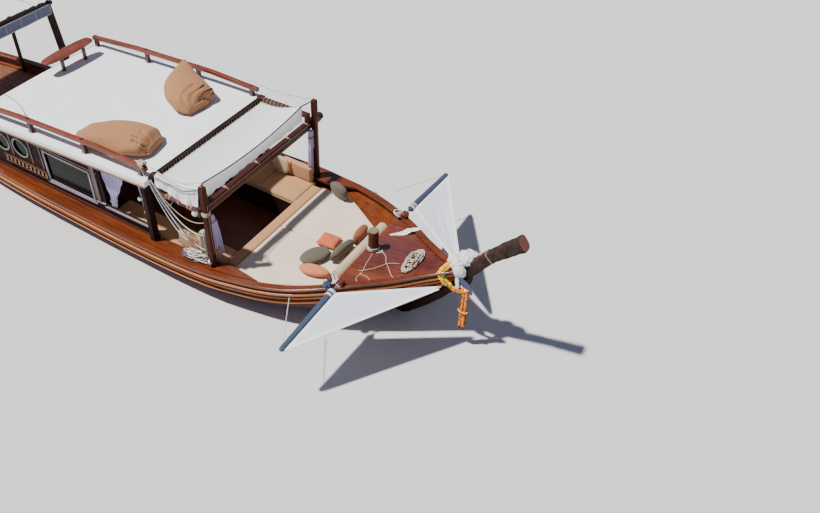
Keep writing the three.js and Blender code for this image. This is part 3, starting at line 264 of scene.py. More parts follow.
M = {
    "hull": wood("hull_wood", srgb(84, 42, 24), rough=0.3, coat=0.45, contrast=0.35),
    "stern": wood("stern_boards", srgb(84, 42, 24), "y", rough=0.5, coat=0.04, contrast=0.4, shine=0.15),
    "inner": wood("inner_bulwark", srgb(112, 56, 26), rough=0.25, coat=0.6, contrast=0.5, bump=0.8),
    "strake": wood("strake_wood", srgb(190, 104, 34), rough=0.28, coat=0.5, contrast=0.25),
    "cap": wood("cap_wood", srgb(96, 44, 20), rough=0.25, coat=0.6, contrast=0.4),
    "deck": wood("foredeck_wood", srgb(98, 47, 34), rough=0.24, coat=0.7, contrast=0.5, bump=0.8, patches=(
        # Patches: a purplish painted shade forward of the round post, an orange painted highlight along the
        # near side, and a darker patch towards the bow
        ((6.0, 0.1, 1.3), (0.75, 0.5, 1), srgb(84, 50, 56), 0.6),
        ((6.3, -0.66, 1.3), (1.2, 0.14, 1), srgb(150, 80, 38), 0.4),
        ((6.9, 0.0, 1.4), (0.4, 0.3, 1), srgb(70, 26, 24), 0.7))),
    "aftdeck": wood("aftdeck_wood", srgb(120, 72, 48), rough=0.4, coat=0.3, contrast=0.3, wear=0.3),
    "dark": wood("dark_wood", srgb(36, 17, 13), rough=0.6, coat=0.0, contrast=0.35, shine=0.15),
    "dark_y": wood("dark_wood_across", srgb(58, 27, 22), "y", rough=0.5, coat=0.1, contrast=0.4, shine=0.15),
    "dark_z": wood("dark_wood_upright", srgb(46, 23, 18), "z", rough=0.5, coat=0.1, contrast=0.4, shine=0.15),
    "rail": wood("rail_wood", srgb(112, 50, 32), rough=0.4, coat=0.3, contrast=0.35, wear=0.12, shine=0.2),
    "seam": wood("dark_seam", srgb(26, 14, 11), rough=0.6, coat=0.0, contrast=0.2),
    "posttop": wood("post_end_grain", srgb(118, 112, 96), "z", rough=0.8, coat=0.0, contrast=0.3, wear=0.4,
                    bump=1.0),
    "rope_pale": paint("pale_band", srgb(140, 120, 102), 0.6, 0.1, 0.2),
    "hem": cloth("white_hem", srgb(236, 238, 240), 900, 0.85, 0.2, 0.1, 0.02),
    "post_z": wood("weathered_post", srgb(96, 52, 36), "z", rough=0.7, coat=0.0, contrast=0.5, bump=1.0,
                   shine=0.2),
    "stem": wood("weathered_stem", srgb(46, 31, 25), "z", rough=0.7, coat=0.0, contrast=0.6,
                 turn=(0, radians(-41), 0), wear=0.12, bump=1.2, shine=0.15),
    "endgrain": wood("end_grain", srgb(122, 76, 66), "z", rough=0.85, coat=0.0, contrast=0.3, bump=1.0),
    "roof": paint("roof_paint", srgb(242, 246, 250), 0.55, 0.15, 0.04),
    "white": paint("white_paint", srgb(214, 216, 217), 0.45, 0.3, 0.12),
    "canvas": cloth("white_canvas", srgb(216, 224, 232), 900, 0.85, 0.35, 0.1, 0.03, through=0.9),
    "net": cloth("net_canvas", srgb(206, 213, 224), 500, 0.9, 0.3, 0.1, 0.05),
    "mattress": cloth("mattress_cloth", srgb(222, 206, 186), 800, 0.92, 0.4, 0.3, 0.04),
    "cream": cloth("cream_cloth", srgb(192, 168, 138), 700, 0.92, 0.5, 0.3, 0.06),
    "tan": cloth("tan_cloth", srgb(176, 130, 88), 700, 0.88, 0.4, 0.2, 0.06),
    "beanbag": cloth("beanbag_cloth", srgb(158, 111, 74), 600, 0.92, 0.7, 0.12, 0.07),
    "green": cloth("green_cloth", srgb(92, 86, 74), 600, 0.92, 0.6, 0.12, 0.08),
    "terracotta": cloth("terracotta_cloth", srgb(190, 96, 62), 600, 0.92, 0.5, 0.12, 0.07),
    "brown": cloth("brown_cloth", srgb(140, 72, 40), 600, 0.92, 0.6, 0.3, 0.1),
    "curtain": cloth("curtain_cloth", srgb(196, 190, 228), 900, 0.85, 0.3, 0.2, 0.04),
    "boom": cloth("boom_cover", srgb(44, 60, 86), 800, 0.7, 0.4, 0.1, 0.08),
    "boom_under": cloth("boom_dark_underside", srgb(16, 24, 24), 800, 0.7, 0.4, 0.1, 0.08),
    "blue": cloth("blue_cloth", srgb(52, 60, 96), 800, 0.8, 0.6, 0.3, 0.1),
    "petal": cloth("petals", srgb(228, 130, 0), 300, 0.8, 0.6, 0.0, 0.14),
    "yellow": cloth("yellow_petals", srgb(240, 180, 0), 300, 0.8, 0.6, 0.0, 0.14),
    "maroon": cloth("maroon_cloth", srgb(70, 14, 20), 800, 0.6, 0.5, 0.2, 0.1),
    "petal_white": cloth("white_petals", srgb(236, 232, 214), 300, 0.8, 0.6, 0.2, 0.08),
    "red": cloth("red_ribbon", srgb(168, 34, 30), 800, 0.6, 0.5, 0.2, 0.1),
    "leaf": cloth("leaf_green", srgb(78, 112, 50), 300, 0.6, 0.6, 0.1, 0.2),
    "rope": rope_material("pale_rope", srgb(214, 204, 184)),
    "rope_pink": rope_material("faded_rope", srgb(214, 178, 160)),
    "rope_grey": rope_material("grey_rope", srgb(170, 166, 160)),
    "rope_dark": rope_material("dark_rope", srgb(48, 46, 48)),
    "hose": paint("black_hose", srgb(26, 26, 28), 0.45, 0.1, 0.2),
    "steel": paint("painted_steel", srgb(92, 98, 100), 0.4, 0.1, 0.35, 0.85),
    "bright": paint("bright_steel", srgb(196, 200, 204), 0.22, 0.0, 0.12, 1.0),
    "engine": paint("engine_paint", srgb(74, 106, 88), 0.45, 0.25, 0.4, 0.1),
    "bronze": paint("bronze", srgb(176, 138, 76), 0.28, 0.0, 0.3, 1.0),
    "pane": glass("window_glass", srgb(6, 9, 8)),
    "peach": cloth("peach_cloth", srgb(196, 122, 84), 600, 0.92, 0.5, 0.12, 0.07),
    "rope_white": rope_material("white_rope", srgb(226, 224, 222)),
    "rope_blue": rope_material("blue_grey_rope", srgb(92, 100, 122)),
    # Dark blue for the painted shade along the side flap's fold
    "seam_blue": cloth("blue_fold_shade", srgb(70, 86, 124), 900, 0.85, 0.2, 0.1, 0.05),
    "rail_dark": wood("brown_timber", srgb(66, 30, 22), rough=0.4, coat=0.4, contrast=0.35),
    "rail_y": wood("brown_timber_across", srgb(104, 46, 32), "y", rough=0.4, coat=0.35, contrast=0.35,
                   wear=0.15),
    "trim_beige": wood("beige_trim", srgb(150, 108, 78), rough=0.5, coat=0.2, contrast=0.2),
    # Pale pink for seizings and the post's strip, and for the painted highlight along the front beam
    "pink_trim_and_highlight": wood("light_trim_and_highlight", srgb(170, 118, 102), "y", rough=0.5, coat=0.2, contrast=0.2),
    "header": wood("header_wood", srgb(38, 24, 28), "y", rough=0.6, coat=0.0, contrast=0.4, shine=0.1),
    "post_dark": wood("post_timber", srgb(66, 32, 18), "z", rough=0.6, coat=0.05, contrast=0.45, shine=0.12),
    "silver": paint("silver_frame", srgb(140, 130, 142), 0.4, 0.2, 0.15, 0.2),
    "baluster": paint("pale_baluster", srgb(196, 168, 110), 0.5, 0.3, 0.2),
    "rim_green": paint("porthole_rim", srgb(120, 128, 118), 0.4, 0.3, 0.2, 0.3),
    "skirt": cloth("white_skirt", srgb(240, 242, 246), 900, 0.85, 0.3, 0.15, 0.03, through=0.9),
    "lace": paint("lacing_cord", srgb(206, 196, 158), 0.8, 0.0, 0.2),
    "seam_grey": cloth("grey_seam", srgb(70, 70, 78), 900, 0.85, 0.2, 0.1, 0.05),
    "valance": cloth("blue_grey_valance", srgb(112, 118, 142), 900, 0.85, 0.3, 0.1, 0.05),
    "lamp": paint("lamp_glass", srgb(206, 216, 204), 0.15, 1.0, 0.08),
    "wrap_white": cloth("white_wrap", srgb(216, 218, 224), 800, 0.85, 0.6, 0.2, 0.06),
}


# Mesh building
def around(count, first=0.0):
    """Angles evenly round a circle, from a share of a step on."""
    return [tau * (k + first) / count for k in range(count)]


def ring_of(centre, side, top, radius, sides):
    return [centre + side * (cos(t) * radius) + top * (sin(t) * radius) for t in around(sides)]


class Shape:
    """Collects faces for one piece, with a tint and a pair of surface coordinates for each."""

    def __init__(self):
        self.verts, self.faces, self.tints, self.uvs, self.slots = [], [], [], [], []
        self.slot = 0

    def add(self, verts, faces, tint=0.0, uvs=None):
        base = len(self.verts)
        self.verts += [tuple(v) for v in verts]
        for i, face in enumerate(faces):
            self.faces.append([base + k for k in face])
            self.tints.append(tint)
            self.uvs.append(uvs[i] if uvs else [(0, 0)] * len(face))
            self.slots.append(self.slot)

    def loft(self, rings, closed=True, caps=True, tint=0.0, uv=None):
        """Rings of points with equal counts, joined in order."""
        count = len(rings[0])
        verts = [p for ring in rings for p in ring]
        faces, uvs = [], []
        for s in range(len(rings) - 1):
            for i in range(count if closed else count - 1):
                j = (i + 1) % count
                a, b = s * count, (s + 1) * count
                faces.append((a + i, a + j, b + j, b + i))
                if uv:
                    lo, hi = uv[s], uv[s + 1]
                    uvs.append([(i / count, lo), ((i + 1) / count, lo), ((i + 1) / count, hi), (i / count, hi)])
        if caps and closed:
            last = (len(rings) - 1) * count
            faces += [tuple(range(count))[::-1], tuple(range(last, last + count))]
            if uv:
                uvs += [[(0, 0)] * count] * 2
        self.add(verts, faces, tint, uvs if uv else None)

    def box(self, lo, hi, cut=0.004, turn=None, tint=0.0):
        """A box with its edges cut back, so that they catch the light. turn is a matrix."""
        verts, index = [], {}
        for corner in range(8):
            sign = [1 if corner >> k & 1 else -1 for k in range(3)]
            point = [hi[k] if sign[k] > 0 else lo[k] for k in range(3)]
            for axis in range(3):
                p = [point[k] - (0 if k == axis else sign[k] * cut) for k in range(3)]
                index[corner, axis] = len(verts)
                verts.append(Vector(p))
        faces = []
        for axis in range(3):
            b, c = [k for k in range(3) if k != axis]
            for up in (0, 1):
                ring = [(up << axis) | (i << b) | (j << c) for i, j in ((0, 0), (1, 0), (1, 1), (0, 1))]
                faces.append([index[corner, axis] for corner in ring])
            for i in (0, 1):
                for j in (0, 1):
                    one = (i << b) | (j << c)
                    two = one | (1 << axis)
                    faces.append([index[one, b], index[two, b], index[two, c], index[one, c]])
        faces += [[index[corner, axis] for axis in range(3)] for corner in range(8)]
        if turn:
            verts = [turn @ v for v in verts]
        self.add(verts, faces, tint)

    def bar(self, a, b, wide, deep, cut=0.004, up=UP, tint=0.0):
        """A rectangular bar between two points, wide across and deep along up."""
        a, b = Vector(a), Vector(b)
        along = (b - a).normalized()
        side = along.cross(up).normalized()
        top = side.cross(along)
        turn = Matrix((along, side, top)).transposed().to_4x4()
        turn.translation = a
        self.box((0, -wide / 2, -deep / 2), ((b - a).length, wide / 2, deep / 2), cut, turn, tint)

    def tube(self, points, radius, sides=8, tint=0.0, pitch=6.0, ends=True):
        """A tube along points. Its length coordinate counts pitch lengths in diameters."""
        points = [Vector(p) for p in points]
        radii = radius if isinstance(radius, (list, tuple)) else [radius] * len(points)
        side, rings, run, travelled = None, [], [], 0.0
        for i, p in enumerate(points):
            along = (points[min(i + 1, len(points) - 1)] - points[max(i - 1, 0)]).normalized()
            if side is None:
                side = along.cross(UP if abs(along.z) < 0.9 else Vector((1, 0, 0)))
            side = (side - along * side.dot(along)).normalized()
            top = along.cross(side)
            travelled += (p - points[i - 1]).length if i else 0
            run.append(travelled / (2 * max(radii) * pitch))
            rings.append(ring_of(p, side, top, radii[i], sides))
        self.loft(rings, caps=ends, tint=tint, uv=run)

    def lathe(self, profile, start, axis=UP, sides=24, tint=0.0):
        """Profile of (distance along axis, radius) turned about the axis from start."""
        start, axis = Vector(start), Vector(axis).normalized()
        side = axis.cross(Vector((1, 0, 0)) if abs(axis.x) < 0.9 else Vector((0, 1, 0))).normalized()
        top = axis.cross(side)
        self.loft([ring_of(start + axis * d, side, top, r, sides) for d, r in profile], tint=tint)

    def sweep(self, path, profile, up=UP, tint=0.0, across=None):
        """A closed profile of (side, up) carried along a path, its side direction given or square to up."""
        path = [Vector(p) for p in path]
        rings = []
        for i, p in enumerate(path):
            along = (path[min(i + 1, len(path) - 1)] - path[max(i - 1, 0)]).normalized()
            side = Vector(across) if across else along.cross(up).normalized()
            top = side.cross(along).normalized()
            shape = profile(i / (len(path) - 1)) if callable(profile) else profile
            rings.append([p + side * a + top * b for a, b in shape])
        self.loft(rings, tint=tint)

    def reslot(self, slot, wanted):
        """Gives a slot to the faces whose centre is wanted."""
        for i, face in enumerate(self.faces):
            if wanted(sum((Vector(self.verts[k]) for k in face), Vector()) / len(face)):
                self.slots[i] = slot

    def mirrored(self):
        copy = Shape()
        copy.verts = [(x, -y, z) for x, y, z in self.verts]
        copy.faces = [f[::-1] for f in self.faces]
        copy.tints, copy.slots = list(self.tints), list(self.slots)
        copy.uvs = [u[::-1] for u in self.uvs]
        return copy

    def make(self, name, material, body="hull", instead=(), smooth=40, slot=None, outward=True):
        mesh = bpy.data.meshes.new(name)
        mesh.from_pydata(self.verts, [], self.faces)
        tint = mesh.color_attributes.new("tint", "FLOAT_COLOR", "CORNER")
        uv = mesh.uv_layers.new(name="run")
        k = 0
        for i, face in enumerate(self.faces):
            for j in range(len(face)):
                tint.data[k].color = (self.tints[i],) * 3 + (1,)
                uv.data[k].uv = self.uvs[i][j]
                k += 1
        for m in material if isinstance(material, (list, tuple)) else [material]:
            mesh.materials.append(M[m] if isinstance(m, str) else m)
        mesh.polygons.foreach_set("material_index", self.slots)
        if outward:
            work = bmesh.new()
            work.from_mesh(mesh)
            bmesh.ops.recalc_face_normals(work, faces=work.faces)
            work.to_mesh(mesh)
            work.free()
        mesh.polygons.foreach_set("use_smooth", [True] * len(mesh.polygons))
        mesh.set_sharp_from_angle(angle=radians(smooth))
        obj = bpy.data.objects.new(name, mesh)
        bpy.context.scene.collection.objects.link(obj)
        if instead:
            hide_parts(*([instead] if isinstance(instead, str) else instead))
        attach(obj, body)
        return obj


def both(shape, name, material, body="hull", instead=None, **more):
    """A piece and its mirror image."""
    made = []
    for side, sign in SIDES:
        one = shape if sign > 0 else shape.mirrored()
        rides = body if body == "hull" else f"{body}_{side}"
        made.append(one.make(f"{name}_{side}", material, rides, f"{instead}_{side}" if instead else (), **more))
    return made


def eased(a, b, c, d, t):
    """Between b and c at t, on a smooth curve that also goes through a and d."""
    return 0.5 * (2 * b + (c - a) * t + (2 * a - 5 * b + 4 * c - d) * t * t + (3 * b - a - 3 * c + d) * t ** 3)


def smooth_path(points, step=0.03):
    """Points of a smooth curve through the given ones, about a step apart."""
    pts = [Vector(p) for p in points]
    out = []
    for i in range(len(pts) - 1):
        a, b, c, d = (pts[min(max(i + k, 0), len(pts) - 1)] for k in (-1, 0, 1, 2))
        n = max(1, int((c - b).length / step))
        out += [eased(a, b, c, d, k / n) for k in range(n)]
    out.append(pts[-1])
    return out


def steps(a, b, n):
    return [a + (b - a) * i / n for i in range(n + 1)]


# Hull lines: x, height of the plank's top, half-breadth there, keel height, fullness low and high
STERN_X, BOW_X = -7.7, 7.5
PLANK, SOLE = 0.06, 0.15
HULL_LINES = [
    (-7.7, 1.020, 0.700, 0.110, 2.0, 0.62),
    (-7.0, 0.930, 0.960, -0.040, 2.0, 0.62),
    (-6.0, 0.830, 1.260, -0.250, 2.1, 0.6),
    (-4.8, 0.745, 1.530, -0.390, 2.2, 0.6),
    (-3.4, 0.685, 1.720, -0.460, 2.2, 0.6),
    (-1.8, 0.655, 1.830, -0.490, 2.2, 0.6),
    (0.0, 0.655, 1.880, -0.500, 2.2, 0.6),
    (1.5, 0.680, 1.905, -0.500, 2.2, 0.6),
    (2.5, 0.730, 1.910, -0.500, 2.2, 0.6),
    (3.3, 0.790, 1.885, -0.495, 2.15, 0.6),
    (3.85, 0.840, 1.810, -0.485, 2.1, 0.61),
    (4.4, 0.905, 1.715, -0.460, 2.0, 0.62),
    (4.95, 0.985, 1.550, -0.410, 1.85, 0.65),
    (5.5, 1.105, 1.290, -0.320, 1.75, 0.68),
    (5.83, 1.180, 1.110, -0.220, 1.7, 0.7),
    (6.27, 1.270, 0.840, 0.000, 1.65, 0.73),
    (6.6, 1.335, 0.620, 0.250, 1.6, 0.76),
    (7.15, 1.510, 0.260, 0.880, 1.6, 0.8),
    (7.5, 1.630, 0.090, 1.380, 1.6, 0.85),
]


def hull_line(x, column):
    rows = HULL_LINES
    i = 0
    while i < len(rows) - 2 and x > rows[i + 1][0]:
        i += 1

    def slope(k):
        lo, hi = rows[max(k - 1, 0)], rows[min(k + 1, len(rows) - 1)]
        return (hi[column] - lo[column]) / (hi[0] - lo[0])

    span = rows[i + 1][0] - rows[i][0]
    t = (x - rows[i][0]) / span
    a, b = rows[i][column], rows[i + 1][column]
    h = t * t * (3 - 2 * t)
    return a + (b - a) * h + span * (slope(i) * t * (1 - t) ** 2 - slope(i + 1) * t * t * (1 - t))


def sheer_at(x):
    return hull_line(x, 1)


def half_at(x):
    return hull_line(x, 2)


def keel_at(x):
    return hull_line(x, 3)


def hull_y(x, z):
    sheer, keel = sheer_at(x), keel_at(x)
    t = min(max((z - keel) / (sheer - keel), 0), 1)
    return max(half_at(x) * (1 - (1 - t) ** hull_line(x, 4)) ** hull_line(x, 5), 0.012)


def inner_y(x, z):
    return max(hull_y(x, z) - PLANK, 0.001)


def rounded(points, radius, count=3):
    """A closed outline with its corners rounded."""
    out = []
    n = len(points)
    for i in range(n):
        a, p, b = (Vector(points[k % n]) for k in (i - 1, i, i + 1))
        r = min(radius, (a - p).length * 0.45, (b - p).length * 0.45)
        start, end = p + (a - p).normalized() * r, p + (b - p).normalized() * r
        out += [tuple(start * (1 - t) ** 2 + p * 2 * t * (1 - t) + end * t * t) for t in steps(0, 1, count)]
    return out


def slab(x0, x1, y0, y1, radius, count=3):
    """A rectangle with rounded corners."""
    return rounded([(x0, y0), (x1, y0), (x1, y1), (x0, y1)], radius, count)


def random_tints(seed, count, amount=0.35):
    rng = random.Random(seed)
    return [rng.uniform(-amount, amount) for _ in range(count)]


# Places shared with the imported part
FOREDECK_X, FOREDECK_CROWN = 5.612, 0.035
SEAT_Z, CUSHION = 0.64, 0.145
PAD_TOP = SEAT_Z + CUSHION
PAD_ROWS = ((3.601, 1.445), (4.29, 1.495), (5.604, 0.737))
ROOF_AFT_X, ROOF_FORE_X, ROOF_HALF = -2.75, 1.98, 1.76
ROOF_AFT_Z, ROOF_SLOPE, ROOF_CAMBER, ROOF_THICK, SHOULDER_Y = 1.947, 0.07, 0.04, 0.115, 0.9
RAIL_Y, RAIL_WIDE, RAIL_DEEP = 1.6, 0.09, 0.09
RAIL_ROWS = ((-2.75, 0.345), (-1.4, 0.41), (0.7, 0.41), (1.93, 0.32))
STANCHIONS_X = (1.771, 0.341, -1.122, -2.673)
POST_X, POST_Y, POST_TOP = 3.3, 1.65, 2.695
BEAM_Z, BEAM_HALF = 2.11, 0.085
WALL_OUT = 1.595
SAMSON, SAMSON_R = (5.742, 0.03), 0.102


def foredeck_z(x, y):
    edge = max(half_at(x) - PLANK - 0.054, 0.02)
    return sheer_at(x) + FOREDECK_CROWN * min(1, edge / 0.6) * (1 - min(abs(y) / edge, 1))


def roof_z(x, y=ROOF_HALF):
    y = abs(y)
    if y > SHOULDER_Y:
        crown = ROOF_CAMBER * 0.75 * (ROOF_HALF - y) / (ROOF_HALF - SHOULDER_Y)
    else:
        crown = ROOF_CAMBER * (1 - 0.25 * y / SHOULDER_Y)
    return ROOF_AFT_Z + ROOF_SLOPE * (x - ROOF_AFT_X) + crown


def pad_edge(x):
    (xa, a), (xb, b), (xc, c) = PAD_ROWS
    if x < xb:
        return a + (b - a) * (x - xa) / (xb - xa)
    return b + (c - b) * (x - xb) / (xc - xb)


# Free ropes and the hose
def add_cord(name, points, diameter, material, instead=()):
    points = [tuple(p) for p in points]
    shape = Shape()
    shape.tube(points, diameter / 2)
    piece = shape.make(name, material, instead=instead, slot="rope", smooth=60)


def sagging(a, b, sag, count=28):
    """A slack line between two points, lowest at its middle by sag."""
    a, b = Vector(a), Vector(b)
    return [a.lerp(b, t) - UP * (4 * sag * t * (1 - t)) for t in steps(0, 1, count)]


COIL_X, COIL_Y, COIL_ROPE = 6.62, -0.02, 0.021


def coil_ground():
    """Slope and height of the deck under the coil."""
    fore, aft = foredeck_z(COIL_X + 0.15, 0), foredeck_z(COIL_X - 0.15, 0)
    return (fore - aft) / 0.3, (fore + aft) / 2


def add_rope_coil():
    """An oval coil of two layers, wound outwards and then back in."""
    turns, per_turn, pitch = 3.25, 36, COIL_ROPE * 1.42
    slope, base = coil_ground()
    points = []
    for i in range(int(2 * turns * per_turn) + 1):
        run = i / per_turn
        angle = tau * run
        out = min(run, 2 * turns - run)
        rise = min(max((run - turns) / 0.4, 0), 1)
        wobble = 0.006 * sin(0.37 * angle + 3 * rise) + 0.005 * sin(1.6 * angle + 2 * rise)
        wide = 0.045 + pitch * out + wobble
        long = 0.25 + pitch * out + wobble
        x, y = wide * cos(angle), long * sin(angle)
        z = base + slope * x + COIL_ROPE * (0.52 + 0.93 * rise) + 0.0015 * sin(7 * angle)
        points.append((COIL_X + x, COIL_Y + y, z))
    add_cord("rope_coil_laid", points, COIL_ROPE, "rope", instead="rope_coil")


def add_loose_turns():
    """Smaller untidy turns thrown on top of the coil and into its middle."""
    laps, per_turn = 6, 30
    slope, base = coil_ground()
    points = []
    for i in range(laps * per_turn + 1):
        lap = i / per_turn
        a = tau * lap
        long = (0.205 - 0.013 * lap) * (1 + 0.1 * sin(2.3 * lap))
        wide = 0.085 * (1 + 0.22 * sin(1.9 * lap + 1))
        turn = 0.32 * sin(1.4 * lap)
        u, v = wide * cos(a), long * sin(a)
        x = u * cos(turn) - v * sin(turn) + 0.022 * sin(2.6 * lap)
        y = u * sin(turn) + v * cos(turn) + 0.05 * sin(1.3 * lap + 2)
        z = base + slope * x + COIL_ROPE * (2.5 + 0.55 * lap + 0.25 * sin(3 * a + lap))
        points.append((COIL_X + x, COIL_Y + y, z))
    add_cord("rope_coil_loose", points, COIL_ROPE * 0.9, "rope")


def long_loop(share, half, tall):
    """Across and up on a long loop with round ends; share runs from 0 at its top to 1."""
    arc, straight, centre = pi * half, tall - 2 * half, tall / 2 - half
    s = (share % 1) * 2 * (arc + straight)
    if s < arc / 2:
        return half * sin(s / half), centre + half * cos(s / half)
    s -= arc / 2
    if s < straight:
        return half, centre - s
    s -= straight
    if s < arc:
        return half * cos(s / half), -centre - half * sin(s / half)
    s -= arc
    if s < straight:
        return -half, s - centre
    s -= straight
    return -half * cos(s / half), centre + half * sin(s / half)


def add_rope_hank():
    """Long bights hung side by side on the near front post."""
    rope, runs, per_run = 0.016, 6, 84
    x, top, low = 3.13, 1.6, 0.96
    points = []
    for i in range(runs * per_run + 1):
        run = i / per_run
        tall = top - low - 0.03 * (1 + sin(2.1 * run))
        across, up = long_loop(run, 0.05, tall)
        spread_low = 1 + 0.3 * (0.5 - up / tall)
        points.append((x + across * spread_low + 0.004 * sin(9 * run), -1.69 + 0.0162 * run,
                       top - tall / 2 + up))
    add_cord("rope_hank_hung", points, rope, "rope", instead="rope_hank")


def add_deck_ropes():
    """Loose ends that lead from the round post to the near gunwale."""
    routes = (
        ("deck_rope_aft", 0.014, ((5.80, -0.09), (5.83, -0.22), (5.86, -0.40), (5.90, -0.55), (5.92, -0.66),
                                  (5.90, -0.76), (5.93, -0.84), (5.97, -0.86))),
        ("deck_rope_fore", 0.015, ((5.86, 0.01), (5.93, 0.02), (6.02, -0.03), (6.10, -0.10), (6.17, -0.21),
                                   (6.28, -0.32), (6.38, -0.42), (6.47, -0.50), (6.55, -0.53))),
        ("deck_rope_cross", 0.014, ((5.84, -0.61), (5.92, -0.585), (6.02, -0.50), (6.12, -0.38), (6.24, -0.25),
                                    (6.36, -0.19), (6.43, -0.17))),
        ("deck_rope_short", 0.013, ((5.89, -0.66), (5.97, -0.68), (6.05, -0.69), (6.13, -0.72), (6.17, -0.77))),
    )
    for name, thick, route in routes:
        points = []
        for p in smooth_path([(x, y, 0) for x, y in route], 0.025):
            lift = thick / 2 + 0.001
            if name == "deck_rope_cross":
                lift += 0.016 * max(exp(-((p.y + 0.56) / 0.09) ** 2), exp(-((p.y + 0.26) / 0.07) ** 2))
            points.append((p.x, p.y, foredeck_z(p.x, p.y) + lift))
        add_cord(name, points, thick, "rope_pink")


def add_roof_cords():
    hose = [(-2.70, -0.93), (-2.45, -0.97), (-2.15, -1.05), (-1.85, -1.18), (-1.55, -1.37), (-1.34, -1.49)]
    path = [(x, y, roof_z(x, y) + 0.009) for x, y in hose]
    path += [(-1.25, -1.535, roof_z(-1.25) + 0.08), (-1.22, -1.545, roof_z(-1.22) + 0.2),
             (-1.21, -1.548, roof_z(-1.21) + 0.36)]
    add_cord("roof_hose", smooth_path(path), 0.014, "hose")
    # Each slack line: start, end, sag, diameter, look
    rail_end = (ROOF_FORE_X - 0.06, -RAIL_Y, roof_z(ROOF_FORE_X) + 0.326)
    far_rail = (1.72, RAIL_Y, roof_z(1.72) + 0.36)
    lines = {
        "post_line_near": (rail_end, (POST_X, -POST_Y, POST_TOP + 0.01), 0.13, 0.014, "rope"),
        "post_line_far": (far_rail, (POST_X - 0.03, POST_Y, POST_TOP + 0.012), 0.07, 0.03, "rope_white"),
        "tangle_long": ((ROOF_FORE_X + 0.06, -1.648, 2.3), (POST_X - 0.09, -POST_Y - 0.02, 1.55), 0.34, 0.02,
                        "rope_white"),
        "tangle_loop_1": ((1.99, -1.66, 2.26), (2.78, -1.70, 1.24), 0.22, 0.018, "rope_white"),
        "tangle_loop_2": ((2.03, -1.665, 2.25), (2.95, -1.72, 1.26), 0.10, 0.022, "rope_blue"),
        "tangle_loop_3": ((2.01, -1.655, 2.28), (3.20, -1.715, 1.22), 0.30, 0.016, "rope_white"),
        "tangle_mid": ((2.05, -1.646, 2.26), (POST_X - 0.07, -POST_Y, 1.85), 0.3, 0.012, "rope"),
        "tangle_short": ((2.0, -1.648, 2.25), (2.6, -1.59, 2.33), 0.5, 0.012, "rope_grey"),
    }
    for name, (start, end, sag, thick, look) in lines.items():
        add_cord(name, sagging(start, end, sag), thick, look)


add_rope_coil()
add_loose_turns()
add_rope_hank()
add_deck_ropes()
add_roof_cords()


# Hull planking, strakes and caps
HULL_XS = steps(STERN_X, BOW_X, 110)
GROOVE = 0.0035


def foot_at(x):
    return max(SOLE, keel_at(x))


def room_at(x):
    """How much of the parts on the side fit at x: all of them, and less towards the bow."""
    return min(1, (sheer_at(x) - foot_at(x)) / 0.52)


def add_hull():
    planks, inner_rows = 9, 6
    tints = random_tints(3, planks * 2 + 4, 0.16)
    side = Shape()
    # Each plank is a strip from the foot to the sheer, with a groove between it and the next
    for k in range(planks):
        rings = []
        for x in HULL_XS:
            sheer, foot = sheer_at(x), foot_at(x)
            z0 = sheer + (foot - sheer) * (k + 1) / planks
            z1 = sheer + (foot - sheer) * k / planks
            lip = min(0.006, (z1 - z0) * 0.2)
            rows = (z0, GROOVE * 2), (z0 + lip, 0), ((z0 + z1) / 2, 0), (z1 - lip, 0), (z1, GROOVE * 2)
            rings.append([(x, max(hull_y(x, z) - inset, 0.008), z) for z, inset in rows])
        side.loft(rings, closed=False, tint=tints[k])
    side.slot = 1
    for k in range(inner_rows):
        rings = []
        for x in HULL_XS:
            sheer, foot = sheer_at(x), foot_at(x)
            z0 = foot + (sheer - foot) * k / inner_rows
            z1 = foot + (sheer - foot) * (k + 1) / inner_rows
            lip = min(0.005, (z1 - z0) * 0.2)
            rows = (z1, 0.004), (z1 - lip, 0), (z0 + lip, 0), (z0, 0.004)
            rings.append([(x, max(inner_y(x, z) + inset, 0.004), z) for z, inset in rows])
        side.loft(rings, closed=False, tint=tints[planks + k])
    side.slot = 0
    # Edges at the top and the foot close the shell
    places = [(x, sheer_at(x), foot_at(x)) for x in HULL_XS]
    side.loft([[(x, inner_y(x, z), z), (x, hull_y(x, z), z)] for x, z, _ in places], closed=False)
    side.loft([[(x, hull_y(x, z) - 0.006, z), (x, inner_y(x, z), z)] for x, _, z in places], closed=False)
    both(side, "topside_planks", ["hull", "inner"], instead="topside", outward=False, slot="hull_wood")

    bottom = Shape()
    rings = []
    for x in steps(STERN_X, 6.43, 70):
        keel = min(keel_at(x), SOLE - 0.002)
        half = [(x, hull_y(x, keel + (SOLE - keel) * f) - (0.002 if f == 1 else 0), keel + (SOLE - keel) * f)
                for f in (1, 0.8, 0.6, 0.42, 0.28, 0.16, 0.07, 0.02, 0)]
        rings.append(half + [(px, -y, z) for px, y, z in half[::-1]])
    bottom.loft(rings)
    bottom.make("bottom_planks", "hull", instead="hull_bottom", slot="hull_wood")


def add_strakes():
    for name, drop, high, proud in (("upper", 0.09, 0.058, 0.042), ("lower", 0.35, 0.058, 0.042),
                                    ("thin", 0.215, 0.026, 0.016)):
        path = []
        for x in HULL_XS:
            z = sheer_at(x) - drop * room_at(x)
            path.append((x, hull_y(x, z), z))
        shape = Shape()

        def profile(t):
            room = room_at(STERN_X + (BOW_X - STERN_X) * t)
            h, w = high * room / 2, proud * room
            return rounded([(-0.02 * room, -h), (w, -h * 0.72), (w, h * 0.72), (-0.02 * room, h)], 0.012 * room)

        shape.sweep(path, profile, across=(0, 1, 0))
        both(shape, f"strake_{name}", "strake", slot="hull_wood")


PIN = 5.775, 1.25, 1.282


